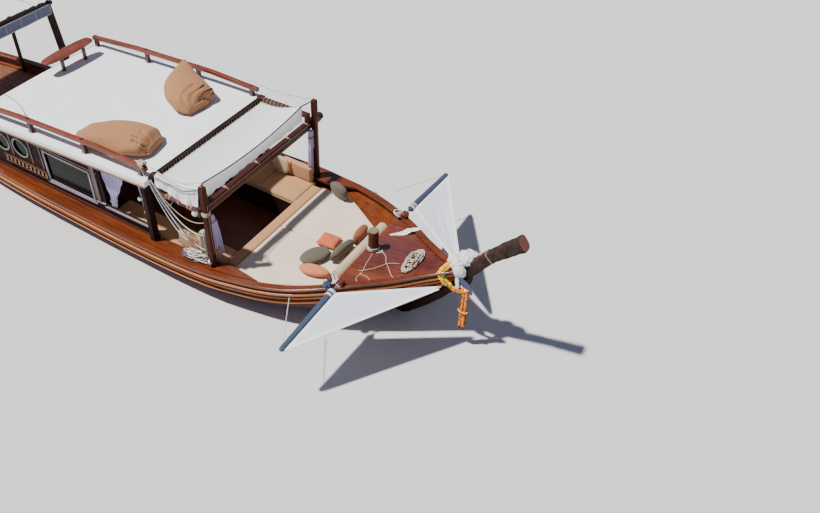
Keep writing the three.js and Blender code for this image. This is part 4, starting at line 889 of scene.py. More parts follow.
def add_caps():
    """Gunwale caps with scarf joints every few metres, and the booms' blocks and pins."""
    shape = Shape()
    rings = []
    for x in HULL_XS:
        half, sheer = half_at(x), sheer_at(x)
        outline = slab(max(half - PLANK - 0.05, 0.001), half + 0.04, sheer + 0.001, sheer + 0.055, 0.018, 4)
        rings.append([(x, y, z) for y, z in outline])
    joints = [0, 14, 31, 47, 64, 80, 95, 110]
    for a, b, tint in zip(joints, joints[1:], random_tints(11, 9, 0.2)):
        shape.loft(rings[a:b + 1], tint=tint)
    x, y, z = PIN
    shape.box((x - 0.062, 1.042, 1.205), (x + 0.062, 1.188, 1.33), 0.012, tint=-0.2)
    shape.slot = 1
    shape.tube([(x, 1.178, z), PIN], 0.011, 12)
    shape.lathe([(0.018 * cos(a), max(0.018 * sin(a), 0.0004)) for a in steps(pi, 0, 10)], PIN, (0, 1, 0), 20)
    shape.lathe([(0, 0.034), (0.006, 0.034), (0.008, 0.026)], (x, 1.187, z), (0, 1, 0), 20)
    both(shape, "gunwale_cap", ["cap", "bright"], instead="gunwale", slot="varnished_wood")


add_hull()
add_strakes()
add_caps()


# Foredeck boards, round post, stem timber
def add_foredeck():
    deck = Shape()
    wide, gap, thick, count = 0.118, 0.0035, 0.028, 18
    tints = random_tints(21, count + 2, 0.28)
    xs = steps(FOREDECK_X, BOW_X - 0.03, 60)

    def reach(x):
        return max(half_at(x) - PLANK - 0.02, 0.004)

    for k in range(-count // 2, count // 2 + 1):
        lo, hi = (k - 0.5) * wide + gap / 2, (k + 0.5) * wide - gap / 2
        rings = []
        for x in xs:
            e = reach(x)
            a, b = min(max(lo, -e), e), min(max(hi, -e), e)
            if b - a < 0.004:
                continue
            m = (a + b) / 2
            za, zm, zb = (foredeck_z(x, y) - 0.001 for y in (a, m, b))
            rings.append([(x, a, za - thick), (x, a, za - 0.003), (x, a + 0.002, za), (x, m, zm),
                          (x, b - 0.002, zb), (x, b, zb - 0.003), (x, b, zb - thick)])
        if len(rings) > 1:
            deck.loft(rings, tint=tints[k + count // 2])
    deck.slot = 1
    rings = []
    for x in xs:
        e, z = reach(x), foredeck_z(x, reach(x))
        rings.append([(x, -e, z - 0.05), (x, e, z - 0.05), (x, e, z - 0.02), (x, 0, foredeck_z(x, 0) - 0.024),
                      (x, -e, z - 0.02)])
    deck.loft(rings)
    # Nosing board along the aft edge
    deck.slot = 2
    nose = [(FOREDECK_X + 0.012, y, foredeck_z(FOREDECK_X, y) - 0.017) for y in steps(-1.07, 1.07, 24)]
    deck.sweep(nose, slab(-0.022, 0.022, -0.03, 0.021, 0.008), across=(1, 0, 0))
    deck.make("foredeck_boards", ["deck", "seam", "inner"], instead="foredeck", slot="varnished_wood")


def add_samson_post():
    """A turned post, the seizing round its foot and a white bight that hangs to the deck."""
    x, y = SAMSON
    foot, rope = 1.1, 0.016
    body = Shape()
    profile = [(0, SAMSON_R - 0.004), (0.02, SAMSON_R)]
    profile += [(d, SAMSON_R - 0.004 * sin(4 * d)) for d in steps(0.08, 0.53, 8)]
    profile += [(0.552, SAMSON_R - 0.001), (0.563, SAMSON_R - 0.007)]
    body.lathe(profile, (x, y, foot), UP, 40)
    body.slot = 1
    body.lathe([(0, SAMSON_R - 0.009), (0.004, SAMSON_R - 0.011), (0.0055, 0.05), (0.006, 0.004)],
               (x, y, foot + 0.5625), UP, 40)
    body.make("samson_post_turned", ["post_z", "posttop"], instead="samson_post", slot="weathered_wood",
              smooth=35)
    out, deck = SAMSON_R + rope * 0.53, foredeck_z(x, y) + 0.03
    turns = [(x + out * cos(t + 2.2), y + out * sin(t + 2.2), deck + rope * 1.06 * t / tau)
             for t in steps(0, tau * 4.4, 150)]
    add_cord("post_seizing", turns, rope, "rope")
    bight = [(5.842, 0.035), (5.88, 0.06), (5.93, 0.055), (5.945, 0.01), (5.90, -0.04), (5.865, -0.05)]
    path = [(px, py, foredeck_z(px, py) + 0.009) for px, py in bight]
    add_cord("post_bight", smooth_path(path, 0.02), rope, "canvas")


# Lower edge x, z, upper edge x, z, half-breadth
STEM_ROWS = [
    (7.6095, 1.3095, 7.5006, 1.383, 0.088), (7.655, 1.392, 7.5006, 1.705, 0.092), (7.73, 1.5, 7.61, 1.8, 0.096),
    (8.152, 2.147, 7.978, 2.297, 0.095), (8.44, 2.44, 8.262, 2.63, 0.105), (8.712, 2.7, 8.53, 2.93, 0.126),
]
STEM_ARC = 6


def stem_at(t):
    """Row of the stem at a place from 0, at its foot, to 5, at its end."""
    i = min(int(t), len(STEM_ROWS) - 2)
    a, b = STEM_ROWS[i], STEM_ROWS[i + 1]
    return [p + (q - p) * (t - i) for p, q in zip(a, b)]


def stem_ring(t, proud=0.0):
    lx, lz, ux, uz, half = stem_at(t)
    low, high = Vector((lx, 0, lz)), Vector((ux, 0, uz))
    across = (high - low).normalized()
    low, high = low - across * proud, high + across * proud
    half += proud
    outline = slab(0, (high - low).length, -half, half, 0.018 + 0.016 * t, STEM_ARC)
    return [tuple(low + across * a + Vector((0, b, 0))) for a, b in outline]


def add_stem():
    shape = Shape()
    rings = [stem_ring(t, 0.003 * sin(5.1 * t) + 0.0025 * sin(13 * t + 1) - 0.003) for t in steps(0, 4.96, 60)]
    shape.loft(rings + [stem_ring(4.985, -0.004), stem_ring(5, -0.012)], caps=False)
    shape.slot = 1
    shape.loft([stem_ring(5, -0.012), stem_ring(4.995, -0.05), stem_ring(4.985, -0.075)])
    shape.add(stem_ring(0, -0.001), [tuple(range(4 * (STEM_ARC + 1)))])
    shape.slot = 2
    # Pale band at the scarf and the peg above the garlands
    shape.loft([stem_ring(3.06, 0.001), stem_ring(3.07, 0.006), stem_ring(3.10, 0.006), stem_ring(3.11, 0.001)])
    shape.slot = 3
    shape.tube([(7.80, 0, 1.97), (7.87, 0, 2.10), (7.90, 0, 2.2)], [0.034, 0.03, 0.026], 12)
    shape.slot = 4
    shape.tube([(7.899, 0, 2.2), (7.907, 0, 2.228)], [0.03, 0.022], 12)
    shape.make("stem_timber", ["stem", "endgrain", "rope_pale", "rail", "cream"], instead="stem_post",
               slot="weathered_wood")


add_foredeck()
add_samson_post()
add_stem()


# Wings: a covered boom each side with a canvas net stretched to the bow
HEEL, TIP, NET_CORNER = Vector(PIN), Vector((5.764, 2.849, 1.15)), Vector((7.37, 0.33, 1.4))


def lump(shape, spot, size, count, crease):
    """A bunched cloth: an oval body with creases given by crease(turn, height angle)."""
    rings = []
    for a in steps(0.02, pi - 0.02, 16):
        ring = []
        for t in around(count):
            out = Vector((sin(a) * cos(t) * size[0], sin(a) * sin(t) * size[1], cos(a) * size[2]))
            ring.append(Vector(spot) + out * crease(t, a))
        rings.append(ring)
    shape.loft(rings)


def add_deck_cloth():
    """A narrow white cloth laid from the foredeck over the far gunwale."""
    start, end = Vector((5.79, 0.53, 0)), Vector((6.27, 0.87, 0))
    across = Vector((-(end - start).y, (end - start).x, 0)).normalized()
    grid = []
    for s in steps(0, 1, 30):
        spot = start.lerp(end, s)
        half = 0.006 + 0.06 * sin(pi * min(s * 0.9, 1)) ** 0.8
        line = []
        for v in steps(-1, 1, 6):
            p = spot + across * half * v
            climb = min(max((p.y - half_at(p.x) + 0.32) / 0.14, 0), 1)
            climb *= climb * (3 - 2 * climb)
            top = foredeck_z(p.x, p.y) * (1 - climb) + (sheer_at(p.x) + 0.062) * climb
            line.append(Vector((p.x, p.y, top + 0.012 + 0.008 * (1 - v * v) + 0.004 * sin(14 * s + v))))
        grid.append(line)
    piece = sheet_shape(grid, 0.004).make("deck_cloth", "skirt", slot="canvas", smooth=70)


def add_heel_knots():
    """Rope knotted round the cleats at the booms' heels, with a blue cloth at the near one."""
    knot = Shape()
    spot = Vector((5.655, 1.095, 1.27))
    for k in range(4):
        ring = []
        for a in steps(0, tau, 24):
            reach = 0.072 + 0.014 * sin(3 * a + 2 * k)
            ring.append(spot + Vector((reach * cos(a), reach * sin(a + 0.3 * k),
                                       0.018 * k + 0.02 * sin(2 * a + k))))
        knot.tube(ring, 0.011)
    both(knot, "heel_knot", "rope_white", slot="rope", smooth=60)
    bunch = Shape()
    for k, (place, size) in enumerate((((5.60, -1.27, 1.27), 0.08), ((5.58, -1.15, 1.29), 0.055))):
        bunch.slot = k
        lump(bunch, place, (size, size, 0.7 * size), 26,
             lambda t, a: 1 + 0.13 * sin(6 * t + 3 * a + k) + 0.09 * sin(4 * t - 8 * a))
    bunch.make("heel_cloth", ["boom", "maroon"], slot="boom_cover", smooth=75)


def add_wings():
    along = (TIP - HEEL).normalized()
    across = (Vector((1, 0, 0)) - along * along.x).normalized()
    top = across.cross(along)
    length = (TIP - HEEL).length
    rows = [(0.0186, 0.017, 0.017), (0.06, 0.04, 0.034), (0.11, 0.055, 0.045)]
    rows += [(0.11 + (length - 0.15) * t, 0.055 - 0.013 * t + 0.002 * sin(40 * t),
              0.045 - 0.009 * t + 0.002 * sin(33 * t)) for t in steps(0.04, 1, 24)]
    rows += [(length - 0.012, 0.036, 0.031), (length - 0.001, 0.028, 0.024)]
    shape = Shape()
    shape.loft([[HEEL + along * d + across * a + top * b for a, b in slab(-w, w, -h, h, min(w, h) * 0.45)]
                for d, w, h in rows])
    # The lower faces take a darker cloth: the boom cover is darker underneath
    shape.reslot(1, lambda centre: (centre - HEEL).dot(top) < -0.012)
    shape.slot = 2
    for sign in (-1, 1):
        edge = [HEEL + along * d + across * sign * (w * 0.93) + top * (-h * 0.42) for d, w, h in rows[2:]]
        shape.tube(edge, 0.005, 6)
    both(shape, "boom_cover", ["boom", "boom_under", "canvas"], "wing", instead="boom", slot="boom_cover")

    hinge = (NET_CORNER - HEEL).normalized()
    normal = hinge.cross(along).normalized()
    outward = normal.cross(hinge).normalized()
    forward = along.cross(normal).normalized()
    inner = HEEL + along * 0.15 + forward * 0.057
    outer = HEEL + along * (length - 0.05) + forward * 0.046
    corner = NET_CORNER - hinge * 0.04 + outward * 0.012
    corner_out = corner + outward * 0.03
    if normal.z < 0:
        normal = -normal

    def net_point(u, v):
        """u from the boom to the bow, v from the hinge to the outer edge."""
        sag = 0.028 * sin(pi * min(max(u, 0), 1)) * sin(pi * v)
        crease = 0.004 * sin(9 * u + 14 * v) + 0.006 * sin(24 * (v - 0.35 * u) + 1) * sin(5 * u + 1)
        crease += 0.007 * exp(-((v - 0.5 - 0.2 * u) / 0.03) ** 2)
        crease *= sin(pi * v) * sin(pi * u)
        return inner.lerp(outer, v).lerp(corner.lerp(corner_out, v), u) - normal * (sag + crease)

    grid = [[net_point(u, v) for v in steps(0, 1, 26)] for u in steps(0, 1, 44)]
    shape = sheet_shape(grid, 0.004)
    # Hems doubled over along the three edges
    shape.slot = 1
    for line in (grid[1], [g[-1] for g in grid], [g[0] for g in grid]):
        shape.sweep(line, [(-0.026, -0.0045), (0.026, -0.0045), (0.028, 0), (0.026, 0.0045), (-0.026, 0.0045)],
                    up=normal)
    for piece in both(shape, "net_canvas", ["net", "hem"], "wing", instead="net", slot="net"):
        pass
    # Lashings at the bow corner
    tie = Shape()
    for k in range(3):
        a = corner + outward * 0.01 * k - hinge * 0.012 * k
        tie.tube([a + hinge * d + normal * h for d, h in
                  ((0, -0.012), (0.03, -0.002), (0.045, 0.012), (0.012, 0.016), (-0.03, 0.01))], 0.006, 6)
    both(tie, "net_lashing", "rope", "wing", slot="rope", smooth=60)
    # Seizings round the boom near its heel, and the stay from its tip to the gunwale
    seizing = Shape()
    for k, d in enumerate((0.1, 0.122, 0.144, 0.21, 0.23)):
        seizing.tube([HEEL + along * (d + 0.006 * sin(a + k)) + across * 0.064 * cos(a) + top * 0.055 * sin(a)
                      for a in steps(0, tau, 20)], 0.011)
    end = Vector((5.15, 1.785, 1.13))
    stay = TIP - along * 0.06 + top * 0.03
    seizing.tube([stay.lerp(end, t) for t in steps(0, 1, 12)], 0.0075)
    both(seizing, "boom_seizing", "rope_white", "wing", slot="rope", smooth=60)
    add_heel_knots()
    add_deck_cloth()


def two_faces(rows, cols):
    """Faces over and under a grid of points, and the run of points round its rim."""
    faces, base = [], rows * cols
    for i in range(rows - 1):
        for j in range(cols - 1):
            a, b = i * cols + j, (i + 1) * cols + j
            faces.append((a, b, b + 1, a + 1))
            faces.append((base + a, base + a + 1, base + b + 1, base + b))
    rim = list(range(cols)) + [i * cols + cols - 1 for i in range(1, rows)]
    rim += [(rows - 1) * cols + j for j in range(cols - 2, -1, -1)] + [i * cols for i in range(rows - 2, 0, -1)]
    return faces, rim


def sheet_shape(grid, thick):
    """A thin closed sheet from a grid of points."""
    rows, cols = len(grid), len(grid[0])
    shape = Shape()
    top, low = [], []
    for i in range(rows):
        for j in range(cols):
            p = grid[i][j]
            du = grid[min(i + 1, rows - 1)][j] - grid[max(i - 1, 0)][j]
            dv = grid[i][min(j + 1, cols - 1)] - grid[i][max(j - 1, 0)]
            n = du.cross(dv)
            n = n.normalized() if n.length > 1e-9 else UP
            top.append(p + n * thick / 2)
            low.append(p - n * thick / 2)
    faces, rim = two_faces(rows, cols)
    base = rows * cols
    faces += [(a, b, base + b, base + a) for a, b in zip(rim, rim[1:] + rim[:1])]
    uvs = [[(k % base // cols / (rows - 1), k % base % cols / (cols - 1)) for k in f] for f in faces]
    shape.add(top + low, faces, uvs=uvs)
    return shape


add_wings()


# Cushions: closed crowned forms with piping along their seams
def edge_steps(count, rim, size):
    """Places from -1 to 1, close together near both ends."""
    inner = 1 - 2 * rim / size
    ease = [1 - 2 * rim / size * (1 - sin(a)) for a in steps(0, pi / 2, 4)]
    return [-e for e in ease[::-1]][:-1] + steps(-inner, inner, count) + ease[1:]


def pad_shape(place, long, wide, z0, z1, rim, crown, count, seed, dents):
    """A pad over the area that place(u, v) covers, u and v from -1 to 1, and its two edges."""
    rng = random.Random(seed)
    waves = [(rng.uniform(2, 7), rng.uniform(2, 7), rng.uniform(0, 6), rng.uniform(0.3, 1)) for _ in range(6)]
    us, vs = edge_steps(count[0], rim, long), edge_steps(count[1], rim, wide)
    top, low = [], []
    for u in us:
        for v in vs:
            x, y = place(u, v)
            du, dv = (1 - abs(u)) * long / 2, (1 - abs(v)) * wide / 2
            drop = min(sum(rim - sqrt(max(rim * rim - max(rim - d, 0) ** 2, 0)) for d in (du, dv)), rim)
            soft = (1 - u * u) * (1 - v * v)
            dent = sum(a * sin(p * u + q * v + c) for p, q, c, a in waves) / 6
            top.append((x, y, z1 - crown * (1 - soft ** 0.5) - drop + dents * dent * min(1, 6 * soft)))
            low.append((x, y, z0 + drop * 0.6))
    faces, rim_line = two_faces(len(us), len(vs))
    # A side wall of three rows, a little fuller at its middle
    centre = Vector(place(0, 0))
    wall = []
    for f in (1 / 3, 2 / 3):
        for k in rim_line:
            p = Vector(top[k]).lerp(Vector(low[k]), f)
            p.xy = p.xy + (p.xy - centre).normalized() * 0.006
            wall.append(tuple(p))
    base, n = len(top), len(rim_line)
    m0, m1 = 2 * base, 2 * base + n
    for k in range(n):
        c = (k + 1) % n
        a, b = rim_line[k], rim_line[c]
        faces += [(a, b, m0 + c, m0 + k), (m0 + k, m0 + c, m1 + c, m1 + k),
                  (m1 + k, m1 + c, base + b, base + a)]
    shape = Shape()
    shape.add(top + low + wall, faces)
    return shape, [[Vector(points[k]) for k in rim_line] for points in (top, low)]


def piping(edges, radius):
    shape = Shape()
    for line in edges:
        shape.tube(line + line[:2], radius, 6)
    return shape


def add_pad(name, shape_edges, material, node, slot, trim, trim_radius=0.006):
    shape, edges = shape_edges
    piece = shape.make(name, material, instead=node, slot=slot, smooth=70)
    piping(edges, trim_radius).make(f"{name}_piping", trim, slot=slot, smooth=70)


def rectangle(x0, x1, y0, y1):
    return lambda u, v: ((x0 + x1) / 2 + u * (x1 - x0) / 2, (y0 + y1) / 2 + v * (y1 - y0) / 2)


def add_sunpad():
    x0, x1 = PAD_ROWS[0][0], PAD_ROWS[-1][0]
    low = SEAT_Z + 0.001
    for side, sign in SIDES:
        def place(u, v, sign=sign):
            x = x0 + (x1 - x0) * (u + 1) / 2
            return x, sign * (0.004 + (pad_edge(x) - 0.008) * (v + 1) / 2)

        made = pad_shape(place, x1 - x0, 1.3, low, PAD_TOP, 0.034, 0.02, (50, 30), 5 + sign, 0.007)
        add_pad(f"sunpad_{side}", made, "mattress", f"mattress_{side}", "mattress_cloth", "cream", 0.007)
    seat = pad_shape(rectangle(3.375, 3.597, -1.4, 1.4), 0.222, 2.8, low, PAD_TOP - 0.004, 0.03, 0.008,
                     (6, 50), 9, 0.004)
    add_pad("front_seat", seat, "tan", "front_cushion", "tan_cloth", "cream")
    # Bolster across the fore end, with a ring of piping at each end
    x, y0, y1, z, r = 5.4, -0.717, 0.987, 0.8976, 0.111
    length = y1 - y0
    rows = [(0, 0.005), (0.003, 0.036), (0.01, 0.073), (0.024, 0.097), (0.045, 0.109)]
    profile = rows + [(d, r * (1 - 0.02 * sin(19 * d) ** 2)) for d in steps(0.09, length - 0.09, 40)]
    profile += [(length - d, q) for d, q in rows[::-1]]
    shape, ends = Shape(), Shape()
    shape.lathe(profile, (x, y0, z), (0, 1, 0), 36)
    flatten(shape, PAD_TOP + 0.001)
    bolster = shape.make("bolster_roll", "cream", instead="bolster", slot="mattress_cloth", smooth=70)
    for y in (y0 + 0.03, y1 - 0.03):
        ends.tube([(x + 0.108 * cos(t), y, z + 0.108 * sin(t)) for t in steps(0, tau, 36)], 0.005, 6)
    flatten(ends, PAD_TOP + 0.0005)
    ends.make("bolster_roll_piping", "tan", slot="mattress_cloth", smooth=70)


def flatten(shape, z):
    """Nothing lower than z: a soft body that rests on a flat top."""
    shape.verts = [(x, y, max(pz, z)) for x, y, pz in shape.verts]


# Node, x, y, length, width, height, turn in degrees, taper to the ends, look, slot
PILLOWS = [
    ("pillow_terracotta", 4.69, 0.09, 0.39, 0.37, 0.11, 5, 0.08, "terracotta", "terracotta_cloth"),
    ("pillow_green_near", 4.73, -0.425, 0.58, 0.40, 0.16, 64, 0.52, "green", "green_cloth"),
    ("pillow_green_mid", 5.11, -0.07, 0.62, 0.18, 0.34, 82, 0.5, "green", "green_cloth"),
    ("pillow_peach", 4.94, -0.757, 0.56, 0.29, 0.14, 14, 0.6, "peach", "terracotta_cloth"),
    ("pillow_brown", 5.15, 0.50, 0.43, 0.20, 0.34, 94, 0.35, "brown", "terracotta_cloth"),
    ("pillow_green_far", 4.08, 1.345, 0.44, 0.18, 0.42, -12, 0.4, "green", "green_cloth"),
]


def pillow_shape(long, wide, high, seed, taper=0.0):
    """Two faces that meet in a seam: flat when wide is over high, standing on an edge otherwise."""
    standing = high > wide
    thick, short = (wide, high) if standing else (high, wide)
    rng = random.Random(seed)
    waves = [(rng.uniform(3, 9), rng.uniform(3, 9), rng.uniform(0, 6)) for _ in range(5)]
    places = [-cos(pi * k / 22) for k in range(23)]
    grid = {}
    for s in (1, -1):
        for i, u in enumerate(places):
            for j, v in enumerate(places):
                corner = 1 - (0.0 if taper < 0.2 else 0.045) * (u * v) ** 4
                pull = corner * (1 - (0.06 - 0.2 * taper) * (1 - v * v) * abs(u) ** 3)
                pull2 = corner * (1 - 0.05 * (1 - u * u) * abs(v) ** 3) * (1 - taper * abs(u) ** 2.2)
                body = max((1 - abs(u) ** 2.6) * (1 - abs(v) ** 2.6), 0) ** 0.45
                crease = sum(sin(p * u + q * v + c) for p, q, c in waves) / 5
                rays = sin(9 * atan2(v, u + 0.01) + seed) * abs(u) ** 1.5
                puff = thick / 2 * body * (1 + 0.12 * crease + 0.08 * rays)
                grid[s, i, j] = Vector((u * long / 2 * pull, v * short / 2 * pull2, s * puff))
    shape = Shape()
    verts, index = [], {}
    for key, p in grid.items():
        if key[0] < 0 and (key[1] in (0, 22) or key[2] in (0, 22)):
            index[key] = index[1, key[1], key[2]]
        else:
            index[key] = len(verts)
            verts.append(p)
    faces = []
    for i in range(22):
        for j in range(22):
            faces.append([index[1, a, b] for a, b in ((i, j), (i + 1, j), (i + 1, j + 1), (i, j + 1))])
            faces.append([index[-1, a, b] for a, b in ((i, j), (i, j + 1), (i + 1, j + 1), (i + 1, j))])
    if standing:
        verts = [Vector((p.x, p.z, p.y)) for p in verts]
        faces = [f[::-1] for f in faces]
    shape.add(verts, faces)
    rim = [(k, 0) for k in range(22)] + [(22, k) for k in range(22)]
    rim += [(22 - k, 22) for k in range(22)] + [(0, 22 - k) for k in range(22)]
    return shape, [verts[index[1, i, j]] for i, j in rim]


def add_pillows():
    for k, (node, x, y, long, wide, high, turn, taper, look, slot) in enumerate(PILLOWS):
        shape, seam = pillow_shape(long, wide, high, 30 + k, taper)
        lean = radians(12 if high > wide else 0)
        place = Matrix.Translation((x, y, 0)) @ Matrix.Rotation(radians(turn), 4, "Z")
        place = place @ Matrix.Rotation(lean, 4, "X")
        shape.verts = [tuple(place @ Vector(v)) for v in shape.verts]
        seam = [place @ p for p in seam]
        drop = PAD_TOP - 0.004 - min(v[2] for v in shape.verts)
        if high > wide:
            drop -= 0.02
        shape.verts = [(a, b, max(c + drop, PAD_TOP + 0.001)) for a, b, c in shape.verts]
        seam = [Vector((p.x, p.y, max(p.z + drop, PAD_TOP + 0.005))) for p in seam]
        piece = shape.make(f"{node}_sewn", look, instead=node, slot=slot, smooth=80)
        piping([seam], 0.0045).make(f"{node}_seam", look, slot=slot, smooth=80)


def add_seats():
    for side, sign in SIDES:
        inner, outer = (0.765, 1.525) if sign > 0 else (1.045, 1.525)
        cuts = [0.58, 1.5, 2.43, 3.365]
        for k, (a, b) in enumerate(zip(cuts, cuts[1:])):
            made = pad_shape(rectangle(a + 0.002, b - 0.002, sign * inner, sign * outer), b - a, outer - inner,
                             SEAT_Z + 0.001, PAD_TOP, 0.03, 0.016, (16, 12), 40 + k, 0.005)
            node = () if k else f"seat_cushion_{side}"
            add_pad(f"seat_pad_{side}_{k + 1}", made, "tan", node, "tan_cloth", "cream")
        # Back cushions stand against the side
        x0, x1 = 2.352, 3.309
        half = (x1 - x0) / 2
        for k, (a, b) in enumerate(((x0, x0 + half - 0.003), (x0 + half + 0.003, x1))):
            shape, edges = pad_shape(rectangle(a, b, 0.787, 1.128), b - a, 0.341, 1.392, 1.523, 0.028, 0.012,
                                     (14, 8), 60 + k, 0.006)
            shape.verts = [(x, sign * (2.915 - z), y) for x, y, z in shape.verts]
            edges = [[Vector((x, sign * (2.915 - z), y)) for x, y, z in line] for line in edges]
            node = () if k else f"back_cushion_{side}"
            add_pad(f"back_pad_{side}_{k + 1}", (shape, edges), "tan", node, "tan_cloth", "cream", 0.0055)
    shape = Shape()
    r = 0.219
    profile = [(0, 0.02), (0.004, 0.12), (0.006, 0.17), (0.012, 0.2), (0.024, r - 0.004), (0.04, r),
               (0.056, r - 0.004), (0.068, 0.2), (0.074, 0.17), (0.078, 0.12), (0.08, 0.02)]
    shape.lathe(profile, (2.6, 1.305, 1.0056), (0, 1, 0), 48)
    piece = shape.make("round_pad", "cream", instead="round_cushion", slot="mattress_cloth", smooth=70)


# Beanbags: x, y, half-breadth, height, lift above the roof
BEANBAGS = {
    "port": [(1.27, 0.57, 0.26, 0.18, 0), (1.12, 0.60, 0.43, 0.34, 0), (0.72, 0.83, 0.46, 0.41, 0),
             (0.47, 1.02, 0.37, 0.43, 0.02), (0.29, 1.26, 0.20, 0.40, 0.09), (0.20, 1.39, 0.06, 0.33, 0.19)],
    "starboard": [(1.49, -0.90, 0.26, 0.19, 0), (1.35, -0.93, 0.39, 0.35, 0), (0.95, -1.04, 0.44, 0.40, 0),
                  (0.50, -1.15, 0.38, 0.40, 0), (0.12, -1.25, 0.26, 0.31, 0), (-0.11, -1.33, 0.11, 0.17, 0)],
}


# Sharp folds: run along the bag and turn round it, at both ends of each fold
CREASES = {
    "port": ((0.04, 1.2, 0.40, 2.3), (0.03, 1.7, 0.32, 2.8), (0.12, 0.9, 0.46, 1.8), (0.02, 2.2, 0.22, 3.0),
             (0.03, 0.7, 0.20, 1.3), (0.01, 0.2, 0.03, 2.9)),
    "starboard": ((0.08, 0.75, 0.33, 0.95), (0.09, 1.1, 0.36, 1.25), (0.07, 1.45, 0.28, 1.6),
                  (0.02, 0.2, 0.10, 0.8)),
}
CREASE_WIDE, CREASE_DEEP, BAG_REACH = 0.02, 2.2, 0.36


def crease_at(creases, d, t):
    """How deep a fold is at a run along the bag and a turn round it."""
    deep = 0
    for d0, t0, d1, t1 in creases:
        ax, ay, bx, by = d0, t0 * BAG_REACH, d1, t1 * BAG_REACH
        px, py = d, t * BAG_REACH
        long = (bx - ax) ** 2 + (by - ay) ** 2
        k = min(max(((px - ax) * (bx - ax) + (py - ay) * (by - ay)) / long, 0), 1)
        away = hypot(px - ax - k * (bx - ax), py - ay - k * (by - ay))
        deep += CREASE_DEEP * exp(-(away / CREASE_WIDE) ** 2)
        deep -= 0.5 * CREASE_DEEP * exp(-((away - 2 * CREASE_WIDE) / CREASE_WIDE) ** 2)
    return min(deep, 2.4)


def add_beanbags():
    for side, sign in SIDES:
        rows = BEANBAGS[side]
        centres = smooth_path([(x, y, 0) for x, y, *_ in rows], 0.02)
        run = list(accumulate(((b - a).length for a, b in zip(centres, centres[1:])), initial=0.0))
        knots = list(accumulate((hypot(b[0] - a[0], b[1] - a[1]) for a, b in zip(rows, rows[1:])), initial=0.0))
        scale = run[-1] / knots[-1]
        knots = [k * scale for k in knots]

        def value(column, d):
            i = max(k for k in range(len(knots) - 1) if knots[k] <= d + 1e-9)
            t = min(max((d - knots[i]) / (knots[i + 1] - knots[i]), 0), 1)
            near = [rows[min(max(i + k, 0), len(rows) - 1)][column] for k in (-1, 0, 1, 2)]
            return eased(*near, t)

        rings = []
        rng = random.Random(8 if sign > 0 else 12)
        folds = [(rng.randint(2, 7), rng.uniform(5, 15), rng.uniform(0, 6)) for _ in range(7)]
        for i, (p, d) in enumerate(zip(centres, run)):
            half, high, lift = value(2, d), value(3, d), max(value(4, d), 0)
            along = (centres[min(i + 1, len(centres) - 1)] - centres[max(i - 1, 0)]).normalized()
            across = Vector((-along.y, along.x, 0))
            ring = []
            for t in around(88):
                c, s = cos(t), sin(t)
                fold = sum(sin(f * t + g * d + h) for f, g, h in folds) / 7 - crease_at(CREASES[side], d, t)
                wide = half * abs(c) ** 0.85 * copysign(1, c) * (1 + 0.045 * fold)
                up = high / 2 * (1 + abs(s) ** 0.9 * copysign(1, s)) * (1 + 0.04 * fold)
                q = p + across * wide
                z = roof_z(p.x, p.y) + lift + up * (1 - 0.1 * abs(c) ** 4)
                ring.append((q.x, q.y, max(z, roof_z(q.x, q.y) + 0.001)))
            rings.append(ring)
        shape = Shape()
        shape.loft(rings)
        piece = shape.make(f"beanbag_{side}_filled", "beanbag", instead=f"beanbag_{side}", slot="beanbag_cloth",
                           smooth=80)


add_sunpad()
add_pillows()
add_seats()
add_beanbags()


# Roof: rails on stanchions, plank seat, edge moulding
def sloped(points):
    """Points given as x, y and height above the roof's edge line."""
    return [(x, y, ROOF_AFT_Z + ROOF_SLOPE * (x - ROOF_AFT_X) + h) for x, y, h in points]


def rail_top(x):
    """Height of the rail's top over the roof's edge line."""
    rows = RAIL_ROWS
    i = min(len(rows) - 2, max(k for k in range(len(rows)) if rows[k][0] <= x + 1e-6))
    (xa, a), (xb, b) = rows[i], rows[i + 1]
    return a + (b - a) * (x - xa) / (xb - xa)


def add_rails():
    shape = Shape()
    outline = slab(-RAIL_WIDE / 2, RAIL_WIDE / 2, 0, RAIL_DEEP, 0.02, 4)
    joints = [row[0] for row in RAIL_ROWS]
    for a, b, tint in zip(joints, joints[1:], (-0.06, 0.05, -0.02)):
        path = sloped([(x, RAIL_Y, rail_top(x) - RAIL_DEEP) for x in steps(a, b, 12)])
        shape.sweep(path, outline, across=(0, 1, 0), tint=tint)
    # Stanchions, their foot plates and bolts
    for x in STANCHIONS_X:
        foot = roof_z(x, RAIL_Y)
        shape.slot = 1
        shape.box((-0.043, -0.041, 0.0085), (0.043, 0.041, rail_top(x) - RAIL_DEEP - 0.002), 0.008,
                  Matrix.Translation((x, RAIL_Y, foot)), tint=-0.15)
        shape.slot = 2
        shape.box((x - 0.062, RAIL_Y - 0.056, foot + 0.0012), (x + 0.062, RAIL_Y + 0.056, foot + 0.0085), 0.003)
        shape.slot = 3
        for dx, dy in ((-0.05, -0.044), (0.05, -0.044), (0.05, 0.044), (-0.05, 0.044)):
            shape.lathe([(0, 0.007), (0.003, 0.006), (0.004, 0.001)], (x + dx, RAIL_Y + dy, foot + 0.008), UP,
                        8)
    both(shape, "roof_rail_bar", ["rail", "rail_dark", "white", "steel"], instead="roof_rail", slot="dark_wood")


